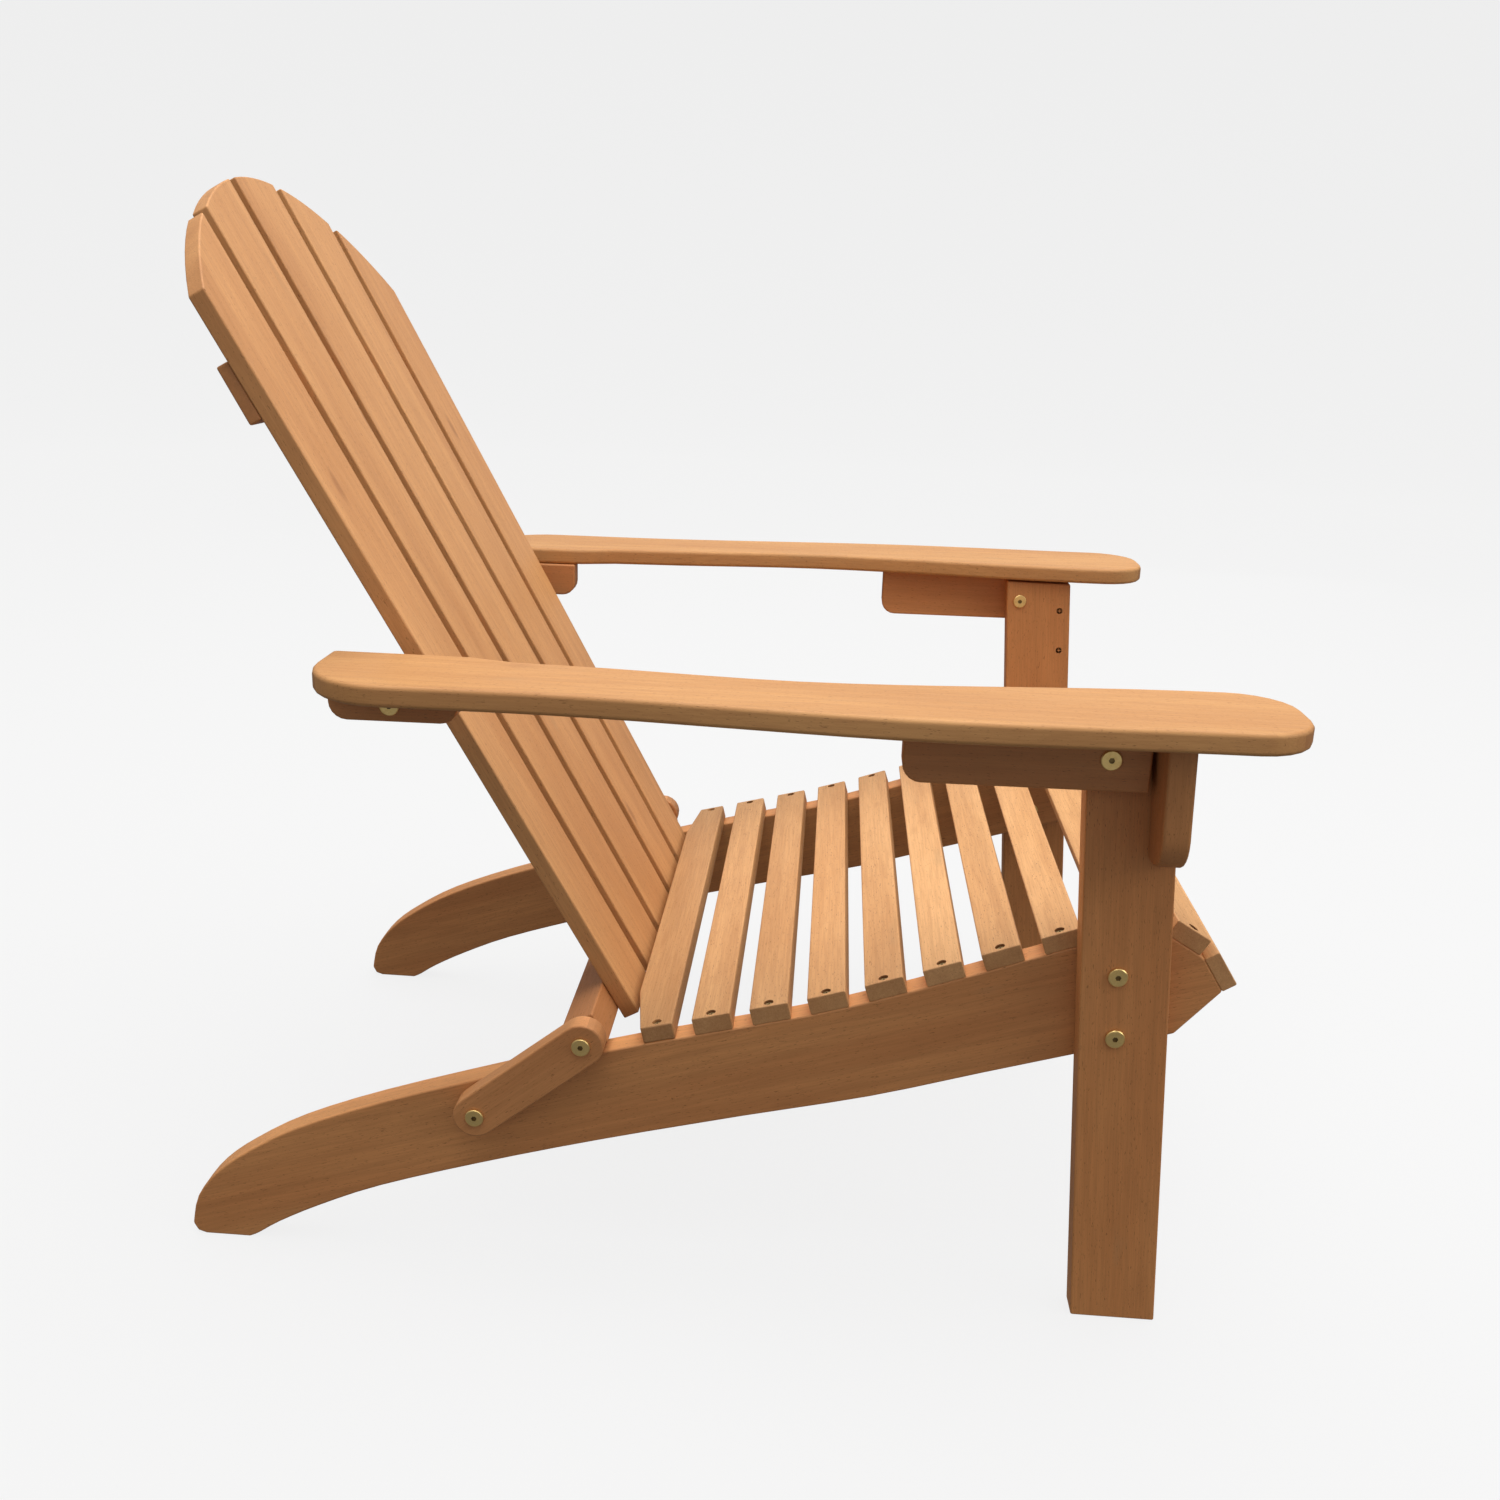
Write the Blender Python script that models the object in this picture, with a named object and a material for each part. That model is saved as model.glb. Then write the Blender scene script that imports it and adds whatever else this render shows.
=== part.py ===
"""Folding adirondack chair in oiled hardwood, built as separate boards, bars, bolts and nuts.

+Z is up, the floor is Z = 0, the chair faces -Y and X = 0 is its plane of symmetry. "right" is the
sitter's right, at -X. Metres throughout. The backrest folds: its foot swings up and over on two
links, and the armrests carry its middle. Angles of recline and tilt are measured in the YZ plane.
"""

import math

import bmesh
import bpy
from mathutils import Vector

# Clearances
GAP = 0.0003              # between pieces that touch
BORE_GAP = 0.0004         # round a shank or a sleeve in its bore
LEG_TOP_GAP = 0.0025      # above a front leg, so that the armrest can tip on it
CUT_PAST = 0.01           # how far a cutter runs past the face it cuts

# Seat rails, one long board each side that runs down into the rear foot
RAIL_OUTER = 0.264        # outer face from the plane of symmetry
RAIL_THICK = 0.023
RAIL_UPPER = (            # rear foot tip to the first seat slat, along the upper edge
    (0.4185, 0.0095), (0.4125, 0.0360), (0.3940, 0.0615), (0.3660, 0.0838),
    (0.3226, 0.1094), (0.2535, 0.1378), (0.1506, 0.1724), (0.0570, 0.2020),
)
RAIL_NOSE = (0.0325, -0.0385)  # lower corner of the nose, from the apron's lower edge
RAIL_LOWER = (            # behind the nose and back to the ground, along the lower edge
    (-0.3005, 0.2220), (-0.2332, 0.2010), (-0.1455, 0.1733), (-0.0460, 0.1480),
    (0.0722, 0.1164), (0.1716, 0.0868), (0.2559, 0.0585), (0.3085, 0.0352), (0.3436, 0.0164),
    (0.3620, 0.0040), (0.3700, 0.0000),
)
FOOT_CURL = ((0.4075, 0.0), (0.4148, 0.0022))  # the end of the flat under the foot, up to its tip
CURVE_STEPS = 3           # straight pieces between two points of a curved edge

# Seat slats: level ones follow the seat line, the last two turn down over the nose
SLAT_THICK = 0.014
SLAT_WIDTH = 0.0312
SLAT_SPACE = 0.0160
FIRST_SLAT_TRIM = 0.0050  # taken off the ends of the rearmost slat, next to the backrest
FIRST_SLAT_GAP = 0.0019   # from the backrest to its middle, which reaches further back than its ends
FIRST_SLAT_MITRE = 0.069  # length of the slanting edge from each end to the full reach
SLAT_COUNT = 9
SEAT_LINE = (             # top edge of the rails under the slats, rear to front
    (0.0570, 0.2020), (-0.0178, 0.2217), (-0.1091, 0.2468), (-0.1996, 0.2785), (-0.2884, 0.3127),
    (-0.3343, 0.3290), (-0.3600, 0.3340),
)
SEAT_STEPS = 12           # straight pieces between two points of the seat line
FIRST_SLAT_START = 0.0162 # from the start of the seat line to the rearmost slat, before its trim
NOSE_SLAT_DROP = math.radians(30)
APRON_DROP = math.radians(57)
APRON_THICK = 0.012
APRON_STEP = 0.0050       # from the nose slat's lower edge to the apron's upper edge
APRON_STEP_DROP = math.radians(10)
SLAT_SCREW_INSET = 0.0065 # screws from the ends of the slats
SCREW_HOLE_RADIUS = 0.0040
SCREW_HOLE_DEPTH = 0.0035
HOLE_SIDES = 12

# Front legs, bolted to the outside of the rails
LEG_THICK = 0.023
LEG_WIDTH = 0.0672
LEG_REAR_Y = -0.3203      # rear edge at the floor
LEG_LEAN = math.radians(4.47)
LEG_BOLTS = ((-0.3245, 0.3030), (-0.3280, 0.2516))

# Armrests, in a frame on the front pivot: "along" runs to the rear, "height" is square to it
ARM_PIVOT = (-0.2964, 0.4797)
ARM_PITCH = math.radians(-0.65)
ARM_THICK = 0.0163
ARM_UNDER = 0.0237        # underside above the pivot
ARM_FRONT = -0.1306
ARM_REAR = 0.5790
ARM_INNER = (             # edges as (along, outward from the rail's outer face)
    (-0.0772, -0.0105), (0.2153, 0.0125), (0.4200, -0.0050), (0.4902, -0.0195),
)
ARM_OUTER = ((-0.0772, 0.1015), (0.0983, 0.1050), (0.4376, 0.0800))
ARM_STEPS = 20            # straight pieces along an edge
ARM_FRONT_RADIUS = 0.044
ARM_REAR_OUTER_RADIUS = 0.063
ARM_REAR_INNER_RADIUS = 0.005

# Brackets under the armrests
BRACKET_THICK = 0.020
FRONT_BRACKET_REAR = 0.1470
FRONT_BRACKET_DROP = 0.0240     # lower edge below the front pivot
SWING_GAP = 0.0020              # between the front bracket and the corbel, as the armrest tips
REAR_BRACKET_ALONG = (0.4790, 0.5785)
REAR_BRACKET_DROP = 0.0130      # lower edge below the rear pivot
BRACKET_RADIUS = 0.0140

# Corbels on the outside of the legs, under the armrests
CORBEL_THICK = 0.020
CORBEL_REACH = 0.0550
CORBEL_HEIGHT = 0.1010
CORBEL_TAPER = 0.0080
CORBEL_RADIUS = 0.0380
CORBEL_SETBACK = 0.0010         # behind the leg's front edge

# Backrest, in a frame on its foot pivot: "rise" runs up the slats, "behind" is square to them
RECLINE = math.radians(60.5)
FOOT_PIVOT_ALONG = 0.0231       # along the rail's upper edge, behind the start of the seat line
BAR_SIZE = 0.028                # both cross bars are square
BAR_REST_GAP = 0.0009           # between the lower cross bar and the rails it rests on
SLAT_END_BELOW = 0.0235         # slat ends below the foot pivot
BACK_INSET = 0.0567             # outer edge inside the rail's outer face, level with the foot pivot
BACK_FAN = 0.0455               # growth of the half width per metre up the slats
CENTRE_HALF_WIDTH = 0.0390
CENTRE_FAN = 0.0050
BACK_SPACE = 0.0150
ARCH_RADII = (0.3040, 0.3040, 0.3220)   # over the centre, inner and outer slats
ARCH_TOP = 0.7305               # crown of the arch above the foot pivot
ARCH_STEPS = 6                  # straight pieces along a slat's top
CROSSING_ROUNDS = 12
ARM_BAR_RISE = 0.3050           # arm-level bar above the foot pivot
BATTEN_RISE = 0.5545            # middle of the upper batten above the foot pivot
BATTEN_HEIGHT = 0.0470
BATTEN_THICK = 0.0105
BATTEN_INSET = 0.0015           # ends inside the outer slats' edges

# Links between the rails and the backrest's foot
LINK_PIVOT = (0.1699, 0.1422)
LINK_THICK = 0.019
LINK_WIDTH = 0.036

# Bolts with flat round heads and sleeve nuts
SHANK_RADIUS = 0.0030
HEAD_RADIUS = 0.0075
HEAD_THICK = 0.0022
SOCKET_RADIUS = 0.0023
SOCKET_DEPTH = 0.0015
SLEEVE_RADIUS = 0.0044
SLEEVE_LENGTH = 0.0150
NUT_RADIUS = 0.0068
NUT_THICK = 0.0016
RIM = 0.0007                    # rounding of the heads' and flanges' rims
NUT_WALL = 0.0020               # solid between the nut's socket and its bore
TIP_GAP = 0.0010                # past a bolt's tip
INSERT_LENGTH = 0.0180          # threaded inserts in the ends of the cross bars
ROUND = 20                      # sides of a turned piece, in fours
BORE_RADIUS = SHANK_RADIUS + BORE_GAP
SLEEVE_BORE_RADIUS = SLEEVE_RADIUS + BORE_GAP
TIP_BEHIND = SOCKET_DEPTH + NUT_WALL + TIP_GAP  # a bolt's tip, in from the face its nut lies on

WOOD = {"rail": (0.50, 0.24, 0.09), "slat": (0.56, 0.29, 0.12), "leg": (0.46, 0.21, 0.08),
        "arm": (0.60, 0.32, 0.13), "back": (0.53, 0.26, 0.10), "small": (0.40, 0.18, 0.07)}
SIDES = {"right": -1, "left": 1}


def clear_scene():
    for obj in list(bpy.data.objects):
        bpy.data.objects.remove(obj, do_unlink=True)


def principled(name, colour, roughness, metallic):
    material = bpy.data.materials.new(name)
    material.use_nodes = True
    shader = material.node_tree.nodes["Principled BSDF"]
    shader.inputs["Base Color"].default_value = (*colour, 1)
    shader.inputs["Roughness"].default_value = roughness
    shader.inputs["Metallic"].default_value = metallic
    return material


def object_of(bm, name, material, parent=None, smooth=False):
    """A finished object of this mesh, with its faces turned outward."""
    bmesh.ops.recalc_face_normals(bm, faces=bm.faces)
    mesh = bpy.data.meshes.new(name)
    bm.to_mesh(mesh)
    bm.free()
    if smooth:
        mesh.shade_smooth()
        mesh.set_sharp_from_angle(angle=math.radians(35))
    mesh.materials.append(material)
    obj = bpy.data.objects.new(name, mesh)
    obj.parent = parent
    bpy.context.scene.collection.objects.link(obj)
    return obj


def frame(name, y, z, turn):
    """An empty on a pivot: its Y axis is turned from the world's by this angle about X."""
    empty = bpy.data.objects.new(name, None)
    empty.location = (0, y, z)
    empty.rotation_euler = (turn, 0, 0)
    bpy.context.scene.collection.objects.link(empty)
    return empty


def loft(rings):
    """A closed body through rings of points of equal number, with a flat cap on each end."""
    bm = bmesh.new()
    loops = [[bm.verts.new(point) for point in ring] for ring in rings]
    for low, high in zip(loops, loops[1:]):
        for i, vert in enumerate(low):
            j = (i + 1) % len(low)
            bm.faces.new((vert, low[j], high[j], high[i]))
    bm.faces.new(loops[0])
    bm.faces.new(loops[-1])
    return bm


def side_board(name, outline, near, thick, side, material, parent=None):
    """A board seen from the side: outline in YZ, from |x| = near outward by its thickness."""
    rings = [[(side * x, y, z) for y, z in outline] for x in (near, near + thick)]
    return object_of(loft(rings), name, material, parent)


def arc(centre, radius, start, end, steps=6):
    """Points on a circle between two angles in degrees, both ends included."""
    angles = [math.radians(start + (end - start) * i / steps) for i in range(steps + 1)]
    return [(centre[0] + radius * math.cos(a), centre[1] + radius * math.sin(a)) for a in angles]


def smooth_through(points, steps=CURVE_STEPS):
    """A Catmull-Rom curve through the points, both ends included."""
    ends = [points[0], *points, points[-1]]
    curve = []
    for p0, p1, p2, p3 in zip(ends, ends[1:], ends[2:], ends[3:]):
        for i in range(steps):
            t = i / steps
            curve.append(tuple(
                0.5 * (2 * b + (c - a) * t + (2 * a - 5 * b + 4 * c - d) * t**2
                       + (3 * b - a - 3 * c + d) * t**3)
                for a, b, c, d in zip(p0, p1, p2, p3)))
    return curve + [points[-1]]


def eased(points, at):
    """The value at this place on a line that eases from each (place, value) to the next."""
    for (a, low), (b, high) in zip(points, points[1:]):
        if at <= a:
            return low
        if at < b:
            t = (at - a) / (b - a)
            return low + (high - low) * t * t * (3 - 2 * t)
    return points[-1][1]


def turned(profile, side, socket=None):
    """Turns (x, radius) pairs round the X axis. A radius of 0 closes an end; a socket cuts a hexagon
    of (radius, depth) in the face of the first ring."""
    bm = bmesh.new()
    rings = []
    for x, radius in profile:
        angles = [2 * math.pi * i / ROUND for i in range(ROUND)]
        points = [(side * x, radius * math.cos(a), radius * math.sin(a)) for a in angles]
        rings.append([bm.verts.new(point) for point in points])
    for low, high in zip(rings, rings[1:]):
        for i in range(ROUND):
            j = (i + 1) % ROUND
            bm.faces.new((low[i], low[j], high[j], high[i]))
    bm.faces.new(rings[-1])
    if socket is None:
        bm.faces.new(rings[0])
        return bm
    radius, depth = socket
    x = profile[0][0]
    hexagon = [[bm.verts.new((side * (x - down), radius * math.cos(math.pi * i / 3),
                              radius * math.sin(math.pi * i / 3))) for i in range(6)]
               for down in (0, depth)]
    for i in range(ROUND):
        low, high = (int(6 * k / ROUND + 0.5) % 6 for k in (i, i + 1))
        bm.faces.new((rings[0][i], rings[0][(i + 1) % ROUND], hexagon[0][high]))
        if low != high:
            bm.faces.new((rings[0][i], hexagon[0][high], hexagon[0][low]))
    for i in range(6):
        j = (i + 1) % 6
        bm.faces.new((hexagon[0][i], hexagon[0][j], hexagon[1][j], hexagon[1][i]))
    bm.faces.new(hexagon[1])
    return bm


def bore(target, at, side, steps):
    """Cuts a round stepped hole along X: steps are (near |x|, far |x|, radius)."""
    profile = []
    for near, far, radius in steps:
        profile += [(near, radius), (far, radius)]
    material = target.data.materials[0]
    cutter = object_of(turned(profile, side), f"{target.name}_bore", material, target.parent)
    cutter.location = (0, at[0], at[1])
    cutter.display_type = "WIRE"
    cutter.hide_render = True
    cut = target.modifiers.new("Bore", "BOOLEAN")
    cut.operation = "DIFFERENCE"
    cut.solver = "EXACT"
    cut.object = cutter


def bolt(name, at, side, head_face, reach, material, parent=None):
    """A bolt whose head lies on |x| = head_face and whose tip ends at |x| = reach."""
    crown = head_face + GAP + HEAD_THICK
    profile = [(crown, HEAD_RADIUS - RIM), (crown - RIM, HEAD_RADIUS), (head_face + GAP, HEAD_RADIUS),
               (head_face + GAP, SHANK_RADIUS), (reach, SHANK_RADIUS)]
    body = turned(profile, side, (SOCKET_RADIUS, SOCKET_DEPTH))
    obj = object_of(body, name, material, parent, smooth=True)
    obj.location = (0, at[0], at[1])
    return obj


def sleeve_nut(name, at, side, face, material, parent=None):
    """A nut whose flange lies on the inner face |x| = face and whose sleeve reaches outward."""
    crown = face - GAP - NUT_THICK
    floor = crown + SOCKET_DEPTH + NUT_WALL
    profile = [(crown, NUT_RADIUS - RIM), (crown + RIM, NUT_RADIUS), (face - GAP, NUT_RADIUS),
               (face - GAP, SLEEVE_RADIUS), (face + SLEEVE_LENGTH, SLEEVE_RADIUS),
               (face + SLEEVE_LENGTH, BORE_RADIUS), (floor, BORE_RADIUS)]
    body = turned(profile, side, (SOCKET_RADIUS, -SOCKET_DEPTH))
    obj = object_of(body, name, material, parent, smooth=True)
    obj.location = (0, at[0], at[1])
    return obj


def insert(name, at, side, face, material, parent):
    """A threaded insert, flush with the end face |x| = face of a cross bar and open towards it."""
    floor = face - INSERT_LENGTH + NUT_WALL
    profile = [(floor, BORE_RADIUS), (face - GAP, BORE_RADIUS), (face - GAP, SLEEVE_RADIUS),
               (face - INSERT_LENGTH, SLEEVE_RADIUS)]
    obj = object_of(turned(profile, side), name, material, parent, smooth=True)
    obj.location = (0, at[0], at[1])
    return obj


def along(line, length):
    """The point this far along a line of points, and straight on past its end."""
    for here, ahead in zip(line, line[1:]):
        step = (ahead - here).length
        if length <= step:
            return here.lerp(ahead, length / step)
        length -= step
    return ahead + length * (ahead - here).normalized()


def seat_slats():
    """Each slat as (middle of its underside, tilt, width, thickness), rear to front, the apron last."""
    line = [Vector(p) for p in smooth_through(SEAT_LINE, SEAT_STEPS)]
    slats = []
    for number in range(SLAT_COUNT):
        start = FIRST_SLAT_START + number * (SLAT_WIDTH + SLAT_SPACE)
        trim = FIRST_SLAT_TRIM if number == 0 else 0.0
        rear, front = along(line, start + trim), along(line, start + SLAT_WIDTH)
        tilt = math.atan2(front.y - rear.y, rear.x - front.x)
        slats.append(((rear + front) / 2, tilt, SLAT_WIDTH - trim, SLAT_THICK))
    edge = front + SLAT_SPACE * forward((tilt - NOSE_SLAT_DROP) / 2)
    nose = edge + SLAT_WIDTH * forward(-NOSE_SLAT_DROP)
    slats.append(((edge + nose) / 2, -NOSE_SLAT_DROP, SLAT_WIDTH, SLAT_THICK))
    edge = nose + APRON_STEP * forward(-NOSE_SLAT_DROP - APRON_STEP_DROP)
    slats.append((edge + SLAT_WIDTH / 2 * forward(-APRON_DROP), -APRON_DROP, SLAT_WIDTH, APRON_THICK))
    return slats


def forward(tilt):
    """Towards the front and up by this tilt, as (y, z)."""
    return Vector((-math.cos(tilt), math.sin(tilt)))


def upward(tilt):
    """Square to forward(tilt), out of the upper face of a slat."""
    return Vector((math.sin(tilt), math.cos(tilt)))


def rail_outline(slats):
    """The rail's edge: foot, upper edge, a flat under each slat, nose and lower edge."""
    outline = smooth_through(RAIL_UPPER)[:-1]
    for middle, tilt, width, _ in slats:
        outline += [tuple(middle + s * width / 2 * forward(tilt)) for s in (-1, 1)]
    nose = tuple(edge + step for edge, step in zip(outline[-1], RAIL_NOSE))
    return outline + smooth_through([nose, *RAIL_LOWER]) + list(FOOT_CURL)


def make_rails(slats, wood):
    outline = rail_outline(slats)
    inner = RAIL_OUTER - RAIL_THICK
    for word, side in SIDES.items():
        rail = side_board(f"{word}_seat_rail", outline, inner, RAIL_THICK, side, wood["rail"])
        for at in (*LEG_BOLTS, LINK_PIVOT):
            bore(rail, at, side, bolt_bore(inner, RAIL_OUTER))


def bolt_bore(inner, outer):
    """A sleeve's bore from the inner face, then the shank's out through the outer one."""
    sleeve = inner + SLEEVE_LENGTH + TIP_GAP
    return [(inner - CUT_PAST, sleeve, SLEEVE_BORE_RADIUS), (sleeve, outer + CUT_PAST, BORE_RADIUS)]


def make_slats(slats, wood):
    """Seat slats across both rails, each with two countersunk screw holes, and the front apron."""
    for number, (middle, tilt, width, thick) in enumerate(slats, 1):
        name = f"seat_slat_{number:02d}" if number <= SLAT_COUNT + 1 else "front_apron_slat"
        low = middle + GAP * upward(tilt)
        reaches = {RAIL_OUTER: 0.0}
        if number == 1:
            reach = room_behind(low - width / 2 * forward(tilt), tilt) - FIRST_SLAT_GAP
            reaches = {RAIL_OUTER: 0.0, RAIL_OUTER - FIRST_SLAT_MITRE: reach}
        rings = []
        for x in sorted({side * x for x in reaches for side in SIDES.values()}):
            rear = -width / 2 - reaches[abs(x)]
            rings.append([(x, *(low + along_slat * forward(tilt) + t * thick * upward(tilt)))
                          for along_slat, t in ((rear, 0), (width / 2, 0), (width / 2, 1), (rear, 1))])
        slat = object_of(loft(rings), name, wood["slat"])
        top = low + thick * upward(tilt)
        for side in SIDES.values():
            screw_hole(slat, side * (RAIL_OUTER - SLAT_SCREW_INSET), top, tilt)


def room_behind(corner, tilt):
    """How far a slat's lower rear corner is from the backrest's front face, along the slat."""
    ahead = Vector((-math.sin(RECLINE), math.cos(RECLINE)))
    face = foot_pivot() + (BAR_SIZE / 2 + GAP + SLAT_THICK) * ahead
    return (corner - face).dot(ahead) / forward(tilt).dot(ahead)


def screw_hole(slat, x, top, tilt):
    """A shallow round recess square to the upper face."""
    bm = bmesh.new()
    bmesh.ops.create_cone(bm, cap_ends=True, segments=HOLE_SIDES, radius1=SCREW_HOLE_RADIUS,
                          radius2=SCREW_HOLE_RADIUS, depth=2 * SCREW_HOLE_DEPTH)
    cutter = object_of(bm, f"{slat.name}_hole", slat.data.materials[0])
    cutter.location = (x, *top)
    cutter.rotation_euler = (-tilt, 0, 0)
    cutter.display_type = "WIRE"
    cutter.hide_render = True
    cut = slat.modifiers.new("Screw hole", "BOOLEAN")
    cut.operation = "DIFFERENCE"
    cut.solver = "EXACT"
    cut.object = cutter


def leg_top():
    """Height of the front legs, just under the armrest where it crosses their front edge."""
    lean = LEG_REAR_Y + ARM_PIVOT[1] * math.tan(LEG_LEAN) - ARM_PIVOT[0]
    return ARM_PIVOT[1] + ARM_UNDER + lean * math.tan(ARM_PITCH) - LEG_TOP_GAP


def make_legs(wood, brass):
    top = leg_top()
    inner = RAIL_OUTER + GAP
    outer = inner + LEG_THICK
    across = LEG_WIDTH / math.cos(LEG_LEAN)
    outline = []
    for z, edges in ((0.0, (0, 1)), (top, (1, 0))):
        outline += [(LEG_REAR_Y + z * math.tan(LEG_LEAN) - edge * across, z) for edge in edges]
    for word, side in SIDES.items():
        leg = side_board(f"{word}_front_leg", outline, inner, LEG_THICK, side, wood["leg"])
        bore(leg, ARM_PIVOT, side, bolt_bore(inner, outer))
        for place, at in zip(("upper", "lower"), LEG_BOLTS):
            bore(leg, at, side, [(inner - CUT_PAST, outer + CUT_PAST, BORE_RADIUS)])
            rail_inner = RAIL_OUTER - RAIL_THICK
            bolt(f"{word}_leg_bolt_{place}", at, side, outer, rail_inner + TIP_BEHIND, brass)
            sleeve_nut(f"{word}_leg_nut_{place}", at, side, rail_inner, brass)
        sleeve_nut(f"{word}_arm_nut", ARM_PIVOT, side, inner, brass)
        face = outer + GAP + BRACKET_THICK
        bolt(f"{word}_front_arm_bolt", ARM_PIVOT, side, face, inner + TIP_BEHIND, brass)
        make_corbel(word, side, outer, top, wood)


def make_corbel(word, side, leg_face, leg_height, wood):
    """A rounded wing square to the leg, close to its front edge, with its head level with the leg's."""
    near = leg_face + GAP
    tip = near + CORBEL_REACH
    foot = leg_height - CORBEL_HEIGHT
    shoulder = (tip - CORBEL_TAPER - CORBEL_RADIUS, foot + CORBEL_RADIUS)
    outline = [(near, leg_height), (tip, leg_height), *arc(shoulder, CORBEL_RADIUS, 0, -90, 8),
               (near, foot)]
    rings = [[(side * x, corbel_front(z) + back, z) for x, z in outline] for back in (0, CORBEL_THICK)]
    object_of(loft(rings), f"{word}_corbel", wood["small"])


def corbel_front(z):
    """Y of the corbel's front face, which leans with the leg."""
    return LEG_REAR_Y - LEG_WIDTH / math.cos(LEG_LEAN) + CORBEL_SETBACK + z * math.tan(LEG_LEAN)


def arm_edge(points):
    """An edge of the armrest as (|x|, along), between its first and last places."""
    places = [ARM_FRONT + (ARM_REAR - ARM_FRONT) * i / ARM_STEPS for i in range(ARM_STEPS + 1)]
    return [(RAIL_OUTER + eased(points, a), a) for a in places if points[0][0] < a < points[-1][0]]


def arm_rear_inner():
    """|x| of the armrest's inner edge beside the backrest."""
    return RAIL_OUTER + ARM_INNER[-1][1]


def arm_outline():
    """The armrest from above, as (|x|, along): paddle in front, waist, and a heel at the rear."""
    front_in, front_out = (RAIL_OUTER + edge[0][1] for edge in (ARM_INNER, ARM_OUTER))
    rear_in, rear_out = arm_rear_inner(), RAIL_OUTER + ARM_OUTER[-1][1]
    r, s, t = ARM_FRONT_RADIUS, ARM_REAR_OUTER_RADIUS, ARM_REAR_INNER_RADIUS
    return (arc((front_out - r, ARM_FRONT + r), r, -90, 0) + arm_edge(ARM_OUTER)
            + arc((rear_out - s, ARM_REAR - s), s, 0, 90, 8)
            + arc((rear_in + t, ARM_REAR - t), t, 90, 180, 3) + arm_edge(ARM_INNER)[::-1]
            + arc((front_in + r, ARM_FRONT + r), r, 180, 270))


def bracket_outline(along, low, high, round_ends):
    """A board under the armrest, with its lower corners rounded where asked: (front, rear)."""
    front, rear = along
    r = BRACKET_RADIUS
    outline = [(front, high)]
    outline += arc((front + r, low + r), r, 180, 270, 5) if round_ends[0] else [(front, low)]
    outline += arc((rear - r, low + r), r, 270, 360, 5) if round_ends[1] else [(rear, low)]
    return outline + [(rear, high)]


def foot_pivot():
    """(y, z) of the backrest's foot pivot: the lower cross bar's corner rests on the rails' edges."""
    rear, front = (Vector(point) for point in RAIL_UPPER[-2:])
    edge = (rear - front).normalized()
    turn = math.pi / 2 - RECLINE + math.atan2(edge.y, edge.x)
    stand = BAR_SIZE / 2 * (math.cos(turn) + math.sin(turn)) + BAR_REST_GAP
    return front + FOOT_PIVOT_ALONG * edge + stand * Vector((-edge.y, edge.x))


def back_point(behind, rise):
    """World (y, z) of a point in the backrest's frame."""
    up = Vector((math.cos(RECLINE), math.sin(RECLINE)))
    out = Vector((math.sin(RECLINE), -math.cos(RECLINE)))
    return foot_pivot() + behind * out + rise * up


def arm_point(at):
    """(along, height) of a world point in the armrest's frame."""
    away = at - Vector(ARM_PIVOT)
    cos, sin = math.cos(ARM_PITCH), math.sin(ARM_PITCH)
    return Vector((away.x * cos + away.y * sin, away.y * cos - away.x * sin))


def make_arms(wood, brass):
    under = ARM_UNDER - GAP
    rear_pivot = arm_point(back_point(0, ARM_BAR_RISE))
    leg_face = RAIL_OUTER + GAP + LEG_THICK
    rear_face = arm_rear_inner()
    front_end = corbel_front(leg_top()) + CORBEL_THICK + SWING_GAP - ARM_PIVOT[0]
    for word, side in SIDES.items():
        pivot = frame(f"{word}_arm_pivot", *ARM_PIVOT, ARM_PITCH)
        rings = [[(side * x, a, h) for x, a in arm_outline()] for h in (ARM_UNDER, ARM_UNDER + ARM_THICK)]
        object_of(loft(rings), f"{word}_armrest", wood["arm"], pivot)
        ends = (front_end, FRONT_BRACKET_REAR)
        outline = bracket_outline(ends, -FRONT_BRACKET_DROP, under, (False, True))
        make_bracket(f"{word}_front_bracket", outline, (0, 0), leg_face + GAP, side, wood, pivot)
        outline = bracket_outline(REAR_BRACKET_ALONG, rear_pivot.y - REAR_BRACKET_DROP, under, (True, True))
        make_bracket(f"{word}_rear_bracket", outline, rear_pivot, rear_face, side, wood, pivot)
        bolt(f"{word}_rear_arm_bolt", rear_pivot, side, rear_face + BRACKET_THICK, rear_face, brass, pivot)


def make_bracket(name, outline, at, near, side, wood, pivot):
    """A bracket with its bolt's bore, from |x| = near outward."""
    bracket = side_board(name, outline, near, BRACKET_THICK, side, wood["small"], pivot)
    bore(bracket, at, side, [(near - CUT_PAST, near + BRACKET_THICK + CUT_PAST, BORE_RADIUS)])


def back_half_width(rise):
    return RAIL_OUTER - BACK_INSET + BACK_FAN * rise


def slat_edges(number, rise):
    """The |x| of the inner and outer edges of a back slat, 0 in the middle and 2 outermost."""
    centre = CENTRE_HALF_WIDTH + CENTRE_FAN * rise
    side = (back_half_width(rise) - centre) / 2 - BACK_SPACE
    if number == 0:
        return -centre, centre
    inner = centre + BACK_SPACE + (number - 1) * (side + BACK_SPACE)
    return inner, inner + side


def arch_rise(number, x):
    radius = ARCH_RADII[number]
    return ARCH_TOP - radius + math.sqrt(radius**2 - x**2)


def crossing(number, edge):
    """Where a slat's edge meets the arch, found by stepping between its edge and the arch."""
    rise = ARCH_TOP
    for _ in range(CROSSING_ROUNDS):
        rise = arch_rise(number, slat_edges(number, rise)[edge])
    return rise


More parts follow.
